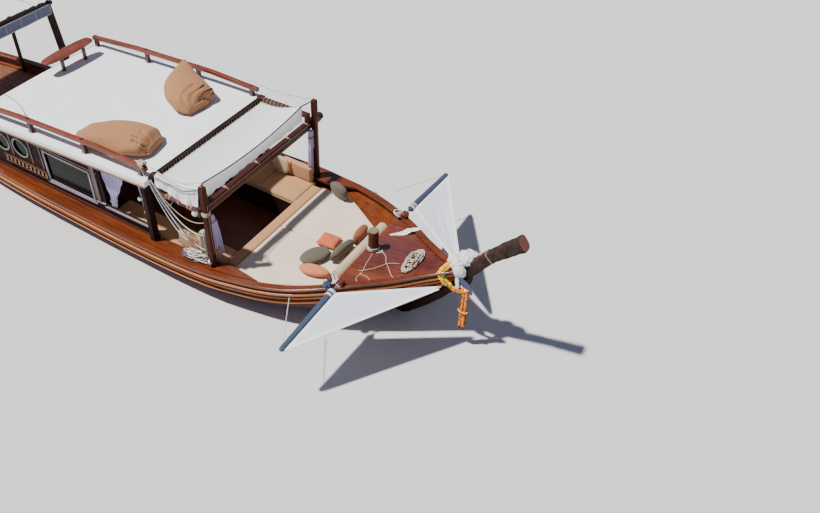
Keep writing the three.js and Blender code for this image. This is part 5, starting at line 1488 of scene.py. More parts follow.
def add_plank_seat():
    cx, cy, half, wide, thick = -2.5, 0.65, 0.66, 0.33, 0.042
    top = ROOF_AFT_Z + ROOF_SLOPE * (cx - ROOF_AFT_X) + 0.385
    outline = []
    for t in steps(0, tau, 64)[:-1]:
        c, s = cos(t), sin(t)
        y = half * 0.995 * copysign(abs(s) ** 0.8, s)
        taper = 1 - 0.1 * (y / half) ** 2
        outline.append((cx + wide * 0.5 * taper * copysign(abs(c) ** 0.42, c), cy + y))
    rings = []
    low = top - thick
    for inset, z in ((0.012, low), (0.003, low + 0.006), (0, low + 0.014), (0, top - 0.014),
                     (0.003, top - 0.005), (0.012, top)):
        rings.append([(cx + (x - cx) * (1 - inset / 0.165), cy + (y - cy) * (1 - inset / half), z)
                      for x, y in outline])
    shape = Shape()
    shape.loft(rings)
    shape.slot = 1
    for side in (-0.3, 0.3):
        y = 0.69 + side
        foot = roof_z(-2.41 + 0.034, abs(y) - 0.034) + 0.0015
        turn = Matrix.Translation((-2.41, y, foot))
        tall = low - foot
        shape.box((-0.033, -0.033, 0), (0.033, 0.033, tall + 0.002), 0.007, turn)
        shape.box((-0.123, -0.02, tall - 0.045), (0.05, 0.02, tall + 0.001), 0.005, turn)
    shape.make("plank_seat", ["rail_y", "rail_dark"], instead="roof_bench", slot="dark_wood")


def add_roof_trim():
    shape = Shape()
    path = sloped([(x, ROOF_HALF + 0.001, -ROOF_THICK + 0.006) for x in steps(ROOF_AFT_X, ROOF_FORE_X, 24)])
    bead = slab(-0.016, 0.012, -0.02, 0.016, 0.008)
    shape.sweep(path, bead, across=(0, 1, 0))
    shape.slot = 1
    path = sloped([(x, ROOF_HALF - 0.016, -ROOF_THICK - 0.022) for x in steps(ROOF_AFT_X, ROOF_FORE_X, 24)])
    shape.sweep(path, bead, across=(0, 1, 0))
    both(shape, "roof_moulding", ["trim_beige", "rail_dark"], slot="dark_wood")
    aft = Shape()
    y_line = [(ROOF_AFT_X - 0.006, y, roof_z(ROOF_AFT_X, y) - 0.02) for y in steps(-ROOF_HALF, ROOF_HALF, 24)]
    aft.sweep(y_line, slab(-0.012, 0.012, -0.03, 0.018, 0.006),
              across=(1, 0, 0))
    aft.make("roof_aft_moulding", "rail_y", slot="dark_wood")


add_rails()
add_plank_seat()
add_roof_trim()


# Cabin sides: glazing, frames, little balusters, sills
WINDOW = (-0.99, 0.253, 0.95, 1.66)
PORTHOLES, PORTHOLE_R = ((-1.705, 1.44), (-2.27, 1.4)), 0.205


def wall_box(shape, x0, x1, z0, z1, deep, cut=0.004, tint=0.0):
    """A box on the outside of the cabin's side."""
    shape.box((x0, WALL_OUT + 0.0005, z0), (x1, WALL_OUT + deep, z1), cut, tint=tint)


def add_cabin_trim():
    x0, x1, z0, z1 = WINDOW
    out, across = WALL_OUT, (0, 1, 0)
    # Window frame outside, with a sloping sill
    shape = Shape()
    for xa, za, xb, zb in ((x0 - 0.03, z0 - 0.005, x1 + 0.03, z0 - 0.005),
                           (x0 - 0.03, z1 + 0.005, x1 + 0.03, z1 + 0.005),
                           (x0 - 0.005, z0, x0 - 0.005, z1), (x1 + 0.005, z0, x1 + 0.005, z1)):
        shape.bar((xa, out + 0.006, za), (xb, out + 0.006, zb), 0.05, 0.024, up=across)
    shape.bar((x0 - 0.06, out + 0.02, z0 - 0.045), (x1 + 0.08, out + 0.02, z0 - 0.02), 0.04, 0.03, up=across)
    both(shape, "window_frame", "silver", slot="dark_wood")
    pane = Shape()
    pane.box((x0 + 0.001, out - 0.026, z0 + 0.001), (x1 - 0.001, out - 0.02, z1 - 0.001), 0.001)
    for x, z in PORTHOLES:
        pane.lathe([(0, 0.02), (0, PORTHOLE_R - 0.002), (0.006, PORTHOLE_R - 0.002), (0.006, 0.02)],
                   (x, out - 0.03, z), across, 32)
    both(pane, "window_panes", "pane", slot="dark_wood")
    rims = Shape()
    ring = (0, -0.012), (0.012, -0.014), (0.018, -0.004), (0.018, 0.012), (0.010, 0.024), (0, 0.026)
    for x, z in PORTHOLES:
        loops = []
        for t in around(40):
            loops.append([(x + cos(t) * (PORTHOLE_R + r), out + 0.0005 + d, z + sin(t) * (PORTHOLE_R + r))
                          for d, r in ring])
        rims.slot = 0
        rims.loft(loops + loops[:1], caps=False)
        rims.slot = 1
        bolt_r = PORTHOLE_R + 0.004
        for t in around(8, 0.5):
            rims.lathe([(0, 0.006), (0.003, 0.005), (0.004, 0.001)],
                       (x + cos(t) * bolt_r, out + 0.018, z + sin(t) * bolt_r), across, 8)
    both(rims, "porthole_rim", ["rim_green", "bright"], slot="dark_wood")
    # Row of turned balusters on a ledge under the portholes
    row = Shape()
    a, b, low = -2.2, -1.06, 0.985
    row.slot = 1
    wall_box(row, a - 0.05, b + 0.05, low - 0.03, low - 0.004, 0.055)
    wall_box(row, a - 0.05, b + 0.05, low + 0.118, low + 0.142, 0.05)
    row.slot = 0
    profile = [(0, 0.016), (0.012, 0.017), (0.02, 0.009), (0.034, 0.008), (0.055, 0.019), (0.068, 0.02),
               (0.088, 0.008), (0.102, 0.009), (0.108, 0.016), (0.12, 0.016)]
    for x in steps(a, b, 10):
        row.lathe(profile, (x, out + 0.028, low - 0.002), UP, 12)
    both(row, "baluster_row", ["baluster", "rail_dark"], slot="dark_wood")
    # Battens on the wall, the divider by the open side, and its stepped sill
    trim = Shape()
    for x in (-2.56, -1.98, -1.4, -1.1):
        wall_box(trim, x - 0.022, x + 0.022, 1.16, roof_z(x) - 0.14, 0.014, 0.003)
    wall_box(trim, -2.6, 0.5, 1.72, 1.76, 0.016, 0.003)
    wall_box(trim, 0.33, 0.43, 1.02, 2.02, 0.03, 0.006, -0.2)
    wall_box(trim, -2.62, 1.70, 0.72, 0.78, 0.02, tint=-0.2)
    trim.slot = 1
    wall_box(trim, 0.425, 0.445, 1.02, 2.02, 0.036)
    wall_box(trim, 0.33, 0.57, 1.0, 1.03, 0.04)
    trim.bar((0.56, out + 0.024, 0.965), (1.72, out + 0.024, 0.985), 0.03, 0.045, 0.005, up=across)
    both(trim, "cabin_battens", ["rail_dark", "silver"], slot="dark_wood")


def curtain_grid(top, foot, widths, pleats, depth, across, seed):
    """A gathered cloth from top to foot, pleated square to across. widths: its spread at five heights."""
    normal = across.cross((foot - top).normalized()).normalized()
    phase = random.Random(seed).uniform(0, 6)
    grid = []
    for v in steps(0, 1, 26):
        k = min(int(v * 4), 3)
        t = v * 4 - k
        t = t * t * (3 - 2 * t)
        wide = widths[k] + (widths[k + 1] - widths[k]) * t
        line = []
        for u in steps(-1, 1, 60):
            turn = pleats * pi * u + phase + 0.6 * sin(3 * v + 4 * u)
            out = depth * (0.55 + 0.45 * sin(2.2 * v + phase)) * sin(turn)
            side = 0.3 * wide / pleats * sin(2 * turn)
            line.append(top.lerp(foot, v) + across * (u * wide / 2 + side) + normal * out)
        grid.append(line)
    return grid


def add_curtain(name, top, foot, widths, pleats, depth, across, seed, tie):
    """tie: how far down a band holds the cloth, and the band's width and half depth."""
    top, foot, across = Vector(top), Vector(foot), Vector(across)
    grid = curtain_grid(top, foot, widths, pleats, depth, across, seed)
    piece = sheet_shape(grid, 0.003).make(name, "curtain", slot="canvas", smooth=80)
    down, wide, deep = tie
    spot, back = top.lerp(foot, down), across.cross((foot - top).normalized())
    band = Shape()
    band.tube([spot + across * (wide / 2 * cos(t)) + back * (deep * sin(t)) for t in steps(0, tau, 20)], 0.011)
    band.make(f"{name}_tie", "rope_pale", slot="rope", smooth=70)


def add_curtains():
    add_curtain("curtain_post_near", (3.27, -1.50, 1.93), (3.27, -1.47, 0.90), (0.10, 0.20, 0.24, 0.26, 0.3), 4,
                0.035, (0, 1, 0), 2, (0.12, 0.15, 0.05))
    add_curtain("curtain_post_far", (3.27, 1.545, 2.02), (3.27, 1.53, 0.92), (0.10, 0.12, 0.17, 0.2, 0.2), 4,
                0.035, (0, 1, 0), 3, (0.14, 0.13, 0.05))
    for side, sign in SIDES:
        y = sign * 1.555
        add_curtain(f"curtain_side_{side}", (0.86, y, 2.02), (0.74, y, 1.0), (0.56, 0.5, 0.34, 0.16, 0.13), 6,
                    0.032, (1, 0, 0), 4 + sign, (0.86, 0.15, 0.05))
        add_curtain(f"curtain_corner_{side}", (1.64, y, 2.02), (1.69, y, 1.02), (0.2, 0.19, 0.17, 0.13, 0.16),
                    5,
                    0.04, (1, 0, 0), 7 + sign, (0.72, 0.15, 0.055))


add_cabin_trim()
add_curtains()


# Awning: laced cloth with a skirt, its hem line, beams and lamps
AWNING_HALF, AWNING_AFT, AWNING_FORE = 1.48, 2.0758, 3.128
AWNING_AFT_Z, AWNING_FORE_Z, AWNING_DIP, AWNING_LOW = 2.288, 2.58, 0.12, 2.206
HEADER_TOP = ROOF_AFT_Z + ROOF_SLOPE * (ROOF_FORE_X - ROOF_AFT_X) + 0.07


def hem_z(y):
    return AWNING_FORE_Z - AWNING_DIP * (1 - (y / AWNING_HALF) ** 2)


def side_edge_z(t):
    """Height of the awning's side edges, from the header at 0 to the front posts at 1."""
    return AWNING_AFT_Z + (AWNING_FORE_Z - AWNING_AFT_Z) * t ** 1.6 - 0.04 * sin(pi * t)


def add_side_flap():
    """A flap that folds over the near side beam and hangs deeper towards the front post."""
    aft, fore, beam_top = AWNING_AFT + 0.03, AWNING_FORE + 0.01, 2.402
    grid = []
    for t in steps(0, 1, 48):
        x = aft + (fore - aft) * t
        edge = side_edge_z(t)
        crest = max(edge, beam_top + 0.006 * sin(19 * t))
        drop = 0.16 + 0.25 * t + 0.012 * sin(11 * t + 1)
        line = [Vector((x, y, z)) for y, z in (
            (-1.464, edge + 0.008), (-1.482, (edge + crest) / 2 + 0.01), (-1.51, crest + 0.006),
            (-1.565, crest + 0.004), (-1.598, crest - 0.02))]
        for v in steps(0, 1, 12)[1:]:
            fold = v * (0.016 * sin(21 * t + 3 * v) + 0.009 * sin(47 * t + 1))
            line.append(Vector((x + 0.01 * v * sin(9 * t), -1.606 - 0.03 * v + fold, crest - 0.02 - drop * v)))
        grid.append(line)
    shape = sheet_shape(grid, 0.004)
    piece = shape.make("awning_side_flap", "skirt", slot="canvas", smooth=70)
    # Dark blue tubes along the flap where it turns down from the beam: painted shade of the fold, not seams
    seams = Shape()
    for column, radius in ((5, 0.007), (7, 0.005)):
        seams.tube([row[column] + Vector((0, -0.006, 0.002)) for row in grid[1:-1]], radius, 6)
    seams.make("flap_fold_shade", "seam_blue", slot="canvas", smooth=70)
    # The rail that the flap's foot is tied to, with its seizings
    pole = Shape()
    start, end = Vector((1.99, -1.60, 2.03)), Vector((3.243, -1.645, 2.06))
    pole.tube([start.lerp(end, t) + UP * 0.006 * sin(8 * t) for t in steps(0, 1, 24)],
              [0.036 + 0.003 * sin(23 * t) for t in steps(0, 1, 24)], 12)
    pole.slot = 1
    for k, t in enumerate((0.1, 0.28, 0.34, 0.52, 0.7, 0.76, 0.93)):
        spot = start.lerp(end, t)
        for turn in range(3):
            ring = [spot + Vector((0.014 * turn + 0.004 * sin(a + k), 0.043 * cos(a), 0.043 * sin(a)))
                    for a in steps(0, tau, 18)]
            pole.tube(ring, 0.007, 6)
    pole.make("flap_rail", ["rail_dark", "pink_trim_and_highlight"], slot="dark_wood", smooth=50)


def add_tangle():
    """Loose turns of rope heaped on the side deck, aft of the near front post."""
    thick, per_turn = 0.02, 40
    for name, centre, long, laps, look in (("tangle_heap", 2.93, 0.23, 8, "rope_white"),
                                           ("tangle_heap_dark", 2.80, 0.17, 4, "rope_blue")):
        points = []
        for i in range(laps * per_turn + 1):
            lap = i / per_turn
            a = tau * lap
            swing = 1 + 0.28 * sin(2.7 * lap + centre)
            x = centre + 0.05 * sin(1.9 * lap) + long * swing * cos(a)
            y = -1.695 + 0.075 * sin(a + 0.3 * sin(lap)) + 0.01 * sin(3.1 * lap)
            lift = 0.0565 + thick + 0.018 * lap + (0.04 + 0.006 * lap) * (1 + sin(a + 1.3 * lap)) / 2
            points.append((x, y, sheer_at(x) + lift))
        add_cord(name, points, thick, look)
    boss = Shape()
    foot = sheer_at(POST_X) + 0.0565
    boss.lathe([(0, 0.03), (0.012, 0.052), (0.03, 0.056), (0.05, 0.044), (0.058, 0.02)],
               (POST_X - 0.02, -POST_Y - 0.056, foot + 0.11), (0, -1, 0), 20)
    boss.make("post_foot_cleat", "bright", slot="painted_steel")


def add_rail_lashing():
    """Cream seizing round the fore end of the near rail."""
    shape = Shape()
    for k in range(7):
        x = 1.80 + 0.017 * k
        z = roof_z(x) + rail_top(x) - RAIL_DEEP / 2
        ring = [(x + 0.004 * sin(a), -RAIL_Y + 0.062 * cos(a), z + 0.06 * sin(a))
                for a in steps(0, tau, 24)]
        shape.tube(ring, 0.009, 8)
    shape.tube([(1.85, -RAIL_Y - 0.06, roof_z(1.85) + 0.26), (1.88, -1.655, roof_z(1.85) + 0.16),
                (1.93, -1.668, roof_z(1.9) + 0.07), (2.0, -1.65, 2.345)], 0.009, 8)
    shape.make("rail_lashing", "rope", slot="rope", smooth=60)


def add_awning():
    half, aft, fore = AWNING_HALF, AWNING_AFT, AWNING_FORE
    grid = []
    for y in steps(-half, half, 56):
        line = []
        f = y / half
        for t in steps(0, 1, 26):
            z = AWNING_AFT_Z + (hem_z(y) - AWNING_AFT_Z) * t ** 1.6 - 0.04 * sin(pi * t)
            z += 0.006 * sin(17 * f + 3 * t) * t * (1 - t) * 4
            # The edges scallop between the lacing eyes
            pull = 0.012 * abs(sin(pi * (y + half) / 0.148)) * (1 - t) ** 8
            line.append(Vector((aft + 0.012 + pull + (fore - aft - 0.012) * t, y, z)))
        for t in steps(0, 1, 8)[1:]:
            fold = 0.011 * sin(38 * f + 2.5 * sin(6 * f)) * t + 0.006 * sin(71 * f + 2) * t
            line.append(Vector((fore - 0.004 + fold - 0.012 * t, y, hem_z(y) + (AWNING_LOW - hem_z(y)) * t
                                + 0.008 * t * sin(23 * f))))
        grid.append(line)
    shape = sheet_shape(grid, 0.004)
    shape.reslot(1, lambda centre: centre.x > fore - 0.03 and centre.z < hem_z(centre.y) - 0.004)
    piece = shape.make("awning_sheet", ["canvas", "skirt"], instead="awning_cloth", slot="canvas", smooth=60)
    # The thin cloth lets the sun on to the seats
    piece.visible_shadow = False

    line = [(3.25, -1.60, POST_TOP - 0.035), (3.19, -1.53, 2.62)]
    line += [(fore + 0.004, y, hem_z(y) + 0.009) for y in steps(-1.46, 1.46, 40)]
    line += [(3.19, 1.53, 2.62), (3.25, 1.60, POST_TOP - 0.035)]
    add_cord("awning_hem_line", line, 0.026, "rope_dark")
    add_side_flap()

    lace = Shape()
    # Scalloped lacing to the header, and to each side beam
    top = HEADER_TOP
    for k in range(40):
        y = -half + 0.03 + k * (2 * half - 0.06) / 39
        lace.tube([(aft + 0.03, y, AWNING_AFT_Z + 0.004), (aft + 0.004, y + 0.012, AWNING_AFT_Z + 0.018),
                   (aft - 0.002, y + 0.02, top - 0.02), (aft - 0.012, y + 0.022, top + 0.004)], 0.003, 6)
    lace.tube([(aft + 0.028 + 0.006 * sin(43 * y), y, AWNING_AFT_Z + 0.006) for y in steps(-half, half, 90)],
              0.005, 6)
    for k in range(11):
        t = 0.05 + 0.085 * k
        x = aft + (fore - aft) * t
        beam = 2.325 + 0.035 * t
        lace.tube([(x, half - 0.02, side_edge_z(t) + 0.004), (x + 0.01, half + 0.004, side_edge_z(t) + 0.008),
                   (x + 0.018, half + 0.006, beam + 0.03), (x + 0.02, half + 0.02, beam + 0.052),
                   (x + 0.022, half + 0.09, beam + 0.053)], 0.0035, 6)
    for sign in (-1, 1):
        lace.tube([(aft + (fore - aft) * t, sign * (half - 0.012), side_edge_z(t) + 0.01)
                   for t in steps(0, 1, 20)], 0.0085)
    lace.make("awning_lacing", "lace", slot="rope", smooth=60)
    # White ties between skirt and front beam
    ties = Shape()
    for y in (-1.0, -0.1, 0.85, 1.45):
        ties.tube([(3.118, y, 2.225), (3.14, y + 0.015, 2.2), (3.19, y + 0.02, 2.199), (3.246, y + 0.03, 2.196),
                   (3.25, y + 0.034, 2.16)], 0.007, 6)
        ties.tube([(3.118, y + 0.06, 2.225), (3.14, y + 0.05, 2.2), (3.19, y + 0.045, 2.199)], 0.007, 6)
    ties.make("skirt_ties", "rope", slot="rope", smooth=60)


def add_beams():
    shape = Shape()
    beam = [(3.19, y, BEAM_Z) for y in steps(-1.74, 1.95, 30)]
    shape.sweep(beam, slab(-0.0545, 0.0545, -BEAM_HALF, BEAM_HALF, 0.014), across=(1, 0, 0))
    shape.slot = 4
    header = [(2.028, y, HEADER_TOP - 0.0525) for y in steps(-1.64, 1.64, 30)]
    shape.sweep(header, slab(-0.047, 0.047, -0.052, 0.052, 0.01), across=(1, 0, 0))
    shape.slot = 1
    for y in (-1.5355, 1.5355):
        path = [(x, y, 2.325 + 0.035 * (x - 1.98) / 1.265) for x in steps(1.981, 3.244, 12)]
        shape.sweep(path, slab(-0.047, 0.047, -0.047, 0.047, 0.012), across=(0, 1, 0))
        shape.box((3.157, y - 0.045, BEAM_Z + BEAM_HALF - 0.002), (3.243, y + 0.045, 2.33), 0.006)
    # Thin pale strip along the front beam's face near its top: a painted highlight on the beam's upper fore
    # edge
    shape.slot = 2
    shape.box((3.2448, -1.58, BEAM_Z + 0.035), (3.253, 1.58, BEAM_Z + 0.05), 0.002)
    shape.slot = 3
    shape.tube([(3.228, y, BEAM_Z - BEAM_HALF - 0.012 - 0.004 * sin(3 * y)) for y in steps(-1.55, 1.55, 30)],
               0.012)
    shape.slot = 0
    # Round knob at the far end
    shape.lathe([(0, 0.05), (0.012, 0.074), (0.035, 0.08), (0.06, 0.066), (0.07, 0.03)], (3.19, 1.95, BEAM_Z),
                (0, 1, 0), 20)
    shape.make("awning_timbers", ["dark_y", "rail_dark", "pink_trim_and_highlight", "trim_beige", "header"],
               instead="awning_beam", slot="dark_wood")
    posts = Shape()
    x, y, foot = POST_X, POST_Y, sheer_at(POST_X) + 0.0565
    posts.box((x - 0.0545, y - 0.0545, foot), (x + 0.0545, y + 0.0545, POST_TOP), 0.014)
    posts.slot = 1
    posts.box((x - 0.07, y - 0.07, foot - 0.0008), (x + 0.07, y + 0.07, foot + 0.018), 0.005)
    posts.slot = 2
    posts.box((x + 0.0546, y - 0.006, foot + 0.3), (x + 0.0585, y + 0.006, POST_TOP - 0.4), 0.001)
    both(posts, "front_post_timber", ["post_dark", "dark", "pink_trim_and_highlight"], instead="front_post", slot="dark_wood")
    knots = Shape()
    for k in range(4):
        z = BEAM_Z + 0.035 - 0.02 * k
        knots.tube([(x + 0.068 * copysign(abs(cos(t)) ** 0.5, cos(t)),
                     -y + 0.068 * copysign(abs(sin(t)) ** 0.5, sin(t)), z + 0.006 * sin(t))
                    for t in steps(0, tau, 28)], 0.0105)
    knots.make("post_lashing_near", "rope_pink", slot="rope", smooth=60)
    lamps = Shape()
    for x, y, z, r in ((3.19, -1.80, 2.16, 0.058), (1.83, -1.79, 1.86, 0.045), (1.83, 1.79, 1.86, 0.045)):
        profile = [(r - r * cos(a), max(r * sin(a), 0.001)) for a in steps(0.05, pi - 0.05, 14)]
        lamps.slot = 0
        lamps.lathe(profile, (x, y, z - r), UP, 20)
        lamps.slot = 1
        side = 1 if y < 0 else -1
        lamps.tube([(x, y + side * (r - 0.004), z), (x, y + side * (r + 0.04), z)], 0.014, 10)
        lamps.lathe([(0, 0.024), (0.012, 0.03), (0.016, 0.012)], (x, y, z + r - 0.012), UP, 16)
    lamps.make("round_lamps", ["lamp", "steel"], slot="dark_wood")


add_awning()
add_beams()
add_tangle()
add_rail_lashing()


# Aft canopy: ruffled cloth and valance
CANOPY_FORE, CANOPY_AFT, CANOPY_Z, CANOPY_HALF = -3.75, -6.25, 2.82, 1.48


def canopy_z(y):
    y = abs(y)
    crown = 0.03 + 0.045 * (1.48 - y) / 0.78 if y > 0.7 else 0.075 + 0.015 * (1 - y / 0.7)
    return CANOPY_Z + crown


def add_canopy():
    half, aft, fore = CANOPY_HALF - 0.004, CANOPY_AFT - 0.055, CANOPY_FORE + 0.036
    grid = []
    for x in steps(aft, fore, 46):
        near = exp(-((fore - x) / 0.16) ** 2)
        line = []
        for y in steps(-half, half, 74):
            ruffle = 0.014 * near * (sin(31 * y + 3 * sin(9 * x)) + 0.6 * sin(53 * y + 12 * x))
            sag = -0.012 * sin(pi * (x + 6.25) / 2.5 * 3) ** 2 * (1 - near)
            line.append(Vector((x, y, canopy_z(y) + ruffle + sag)))
        grid.append(line)
    shape = sheet_shape(grid, 0.004)
    # Seams run fore and aft
    shape.slot = 1
    for y in (-1.0, 0.02, 1.0):
        shape.tube([(x, y, canopy_z(y) + 0.004) for x in steps(aft, fore - 0.1, 20)], 0.005, 6)
    piece = shape.make("canopy_sheet", ["canvas", "seam_grey"], instead="canopy_cloth", slot="canvas",
                       smooth=70)

    front = CANOPY_FORE + 0.012
    grid = []
    for y in steps(-1.40, 1.40, 70):
        line = []
        for t in steps(0, 1, 8):
            wave = 0.006 * sin(11 * y) * t
            line.append(Vector((front + wave, y, CANOPY_Z - 0.075 - 0.225 * t)))
        grid.append(line)
    valance = sheet_shape(grid, 0.003)
    valance.slot = 1
    for row in (0, 8):
        valance.tube([line[row] for line in grid], 0.009, 6)
    for k in range(0, 71, 10):
        valance.tube([grid[k][j] for j in range(9)], 0.006, 6)
    piece = valance.make("canopy_valance", ["valance", "canvas"], slot="canvas", smooth=70)


add_canopy()


# Garlands, cloths and cords tied round the stem's foot
STRAND_Y = -0.18
STRANDS = (7.745, STRAND_Y), (7.815, STRAND_Y)


def stem_frame(t):
    lx, lz, ux, uz, half = stem_at(t)
    low, high = Vector((lx, 0, lz)), Vector((ux, 0, uz))
    return (low + high) / 2, (high - low).normalized(), (high - low).length / 2, half


def wrap_path(t0, t1, out, sway, start, count):
    """Once round the stem, from place t0 to t1."""
    points = []
    for s in steps(0, 1, count):
        centre, across, deep, half = stem_frame(t0 + (t1 - t0) * s)
        angle = tau * s + start
        c, n = cos(angle), sin(angle)
        reach = 1 / max(abs(c) / (deep + out), abs(n) / (half + out)) * 0.5
        reach += hypot((deep + out) * c, (half + out) * n) * 0.5
        points.append(centre + across * (c * reach) + Vector((0, n * reach, 0)) + UP * sway * sin(3 * angle))
    return points


def flowers(shape, path, size, step, seed):
    """Flower heads threaded close together along a path."""
    rng = random.Random(seed)
    run, last = 0.0, path[0]
    for p in path:
        run += (p - last).length
        last = p
        if run >= step or run == 0.0:
            run = 1e-6
            r = size * rng.uniform(0.85, 1.15)
            spin = rng.uniform(0, 3)
            tone = rng.uniform(-0.25, 0.25)
            axis = Vector((rng.uniform(-1, 1), rng.uniform(-1, 1), rng.uniform(-1, 1))).normalized()
            side = axis.cross(Vector((0.3, 0.8, 0.5))).normalized()
            top = axis.cross(side)
            rings = []
            for d, q in ((-0.7, 0.35), (-0.35, 0.95), (0.0, 1.05), (0.35, 0.9), (0.6, 0.5), (0.66, 0.1)):
                ring = []
                for k in range(14):
                    a = spin + pi * k / 7
                    w = r * q * (1.08 if k % 2 else 0.86)
                    ring.append(p + axis * (d * r) + side * (cos(a) * w) + top * (sin(a) * w))
                rings.append(ring)
            shape.loft(rings, tint=tone)


def shifted(path, x, y, z):
    return [p + Vector((x, y, z)) for p in path]


def add_garlands():
    # White cloths knotted over the stem's foot and the bow
    bundle = Shape()
    lumps = [((7.53, -0.02, 1.80), (0.17, 0.14, 0.12)), ((7.66, 0.02, 1.96), (0.15, 0.15, 0.12)),
             ((7.42, 0.08, 1.74), (0.15, 0.13, 0.1)), ((7.60, -0.13, 1.74), (0.12, 0.07, 0.14)),
             ((7.74, 0.10, 1.98), (0.12, 0.08, 0.11)), ((7.55, 0.16, 1.84), (0.12, 0.08, 0.12))]
    for k, (spot, size) in enumerate(lumps):
        lump(bundle, spot, size, 28,
             lambda t, a: (1 + 0.09 * sin(7 * t + 3 * a + k) + 0.07 * sin(4 * t - 9 * a + 2 * k)
                           + 0.05 * sin(13 * t + 5 * a)))
    # Two loose tails of the knot
    tail = [(-0.035, -0.003), (0, -0.006), (0.035, -0.002), (0.035, 0.002), (0, 0.004), (-0.035, 0.003)]
    for path in ([(7.62, -0.14, 1.68), (7.60, -0.19, 1.58), (7.63, -0.21, 1.48), (7.61, -0.2, 1.40)],
                 [(7.44, 0.14, 1.72), (7.36, 0.2, 1.66), (7.33, 0.24, 1.58)]):
        bundle.sweep(smooth_path(path, 0.02), tail, up=(0, -1, 0.2))
    bundle.make("stem_cloth", "wrap_white", slot="garland", smooth=75)
    # Yellow loop with leaves under it, red and white flowers, and an orange swag and ring
    bright = Shape()
    loop = smooth_path([(7.50, -0.02, 1.86), (7.43, -0.08, 1.80), (7.35, -0.13, 1.70), (7.29, -0.17, 1.58),
                        (7.30, -0.19, 1.48), (7.38, -0.19, 1.40), (7.46, -0.18, 1.36)], 0.004)
    for side, seed in ((-0.028, 3), (0.028, 4)):
        flowers(bright, shifted(loop, side, side * 0.4, 0.02), 0.04, 0.038, seed)
    bright.slot = 1
    flowers(bright, shifted(loop[len(loop) // 2:], 0.05, -0.015, -0.01), 0.03, 0.05, 5)
    bright.slot = 3
    flowers(bright, smooth_path([(7.40, -0.06, 1.82), (7.46, -0.13, 1.78), (7.50, -0.15, 1.70)], 0.004), 0.026,
            0.03, 9)
    bright.slot = 4
    flowers(bright, smooth_path([(7.62, 0.12, 2.07), (7.70, 0.10, 2.09), (7.78, 0.06, 2.06)], 0.004), 0.024,
            0.045, 10)
    bright.slot = 2
    swag = smooth_path([(7.44, -0.18, 1.36), (7.52, -0.19, 1.33), (7.62, -0.19, 1.335), (7.72, -0.185, 1.36),
                        (7.80, -0.18, 1.40)], 0.004)
    for lift, seed in ((-0.022, 12), (0.028, 13)):
        flowers(bright, shifted(swag, 0, 0.01, lift), 0.034, 0.036, seed)
    flowers(bright, wrap_path(1.6, 2.3, 0.05, 0.012, 2.4, 400), 0.03, 0.045, 14)
    bright.make("stem_flowers", ["yellow", "leaf", "petal", "red", "petal_white"], instead="stem_garland",
                slot="garland", smooth=60)
    # Two strands that hang together, with a tie and dark ends
    drops = Shape()
    for k, (x, y) in enumerate(STRANDS):
        path = [Vector((x + 0.008 * sin(3 * s + k), y + 0.005 * sin(5 * s), 1.43 - 0.93 * s))
                for s in steps(0, 1, 260)]
        drops.slot = 0
        flowers(drops, path, 0.031, 0.05, 20 + k)
        drops.slot = 1
        drops.tube(path[::10], 0.019)
        drops.tube([(x + (0.03 if k else -0.03), y + 0.012, 1.36 - 0.86 * s) for s in steps(0, 1, 20)], 0.018)
        drops.tube([(x, y, 0.5 - 0.09 * s) for s in steps(0, 1, 8)],
                   [0.028 - 0.004 * sin(9 * s) for s in steps(0, 1, 8)], 10)
        drops.slot = 2
        flowers(drops, [Vector((x + 0.012 * cos(4 * s), y + 0.012 * sin(4 * s), 0.52 + 0.03 * s))
                        for s in steps(0, 1, 60)], 0.03, 0.03, 24 + k)
    drops.tube([(7.78 + 0.085 * cos(t), STRAND_Y + 0.048 * sin(t), 0.89 + 0.006 * sin(2 * t))
                for t in steps(0, tau, 30)], 0.014)
    drops.make("stem_strands", ["petal", "maroon", "yellow"], slot="garland", smooth=60)
    # Dark blue sash from the stem's foot, and a red ribbon
    sash = Shape()
    fold = [(-0.05, -0.006), (-0.02, 0.004), (0.01, -0.004), (0.05, 0.006), (0.048, 0.014), (0.01, 0.005),
            (-0.02, 0.013), (-0.05, 0.003)]
    ribbon = [(-0.02, -0.004), (0.02, -0.004), (0.022, 0.004), (-0.022, 0.004)]
    sash.sweep(smooth_path([(7.56, -0.16, 1.64), (7.66, -0.18, 1.61), (7.76, -0.18, 1.57), (7.83, -0.175, 1.50),
                            (7.86, -0.17, 1.42), (7.865, -0.17, 1.35)], 0.02), fold, up=(0, -1, 0.1))
    sash.sweep(wrap_path(1.75, 1.9, 0.052, 0.006, 0.3, 56), fold, up=(0.4, 0.2, 1))
    sash.slot = 1
    sash.sweep(wrap_path(1.62, 1.68, 0.064, 0.01, 0.9, 56), ribbon, up=(0.4, 0.2, 1))
    sash.slot = 2
    sash.lathe([(0, 0.012), (0.006, 0.024), (0.02, 0.028), (0.032, 0.02), (0.036, 0.008)], (7.80, -0.215, 1.46),
               (0, -1, 0), 14)
    sash.make("stem_sashes", ["blue", "red", "petal_white"], slot="garland", smooth=70)


add_garlands()


# Stern: seams of the aft deck, boards and rim of the transom
AFT_DECK_DROP, SEAM_PITCH, TRANSOM_BOARDS = 0.15, 0.145, 7


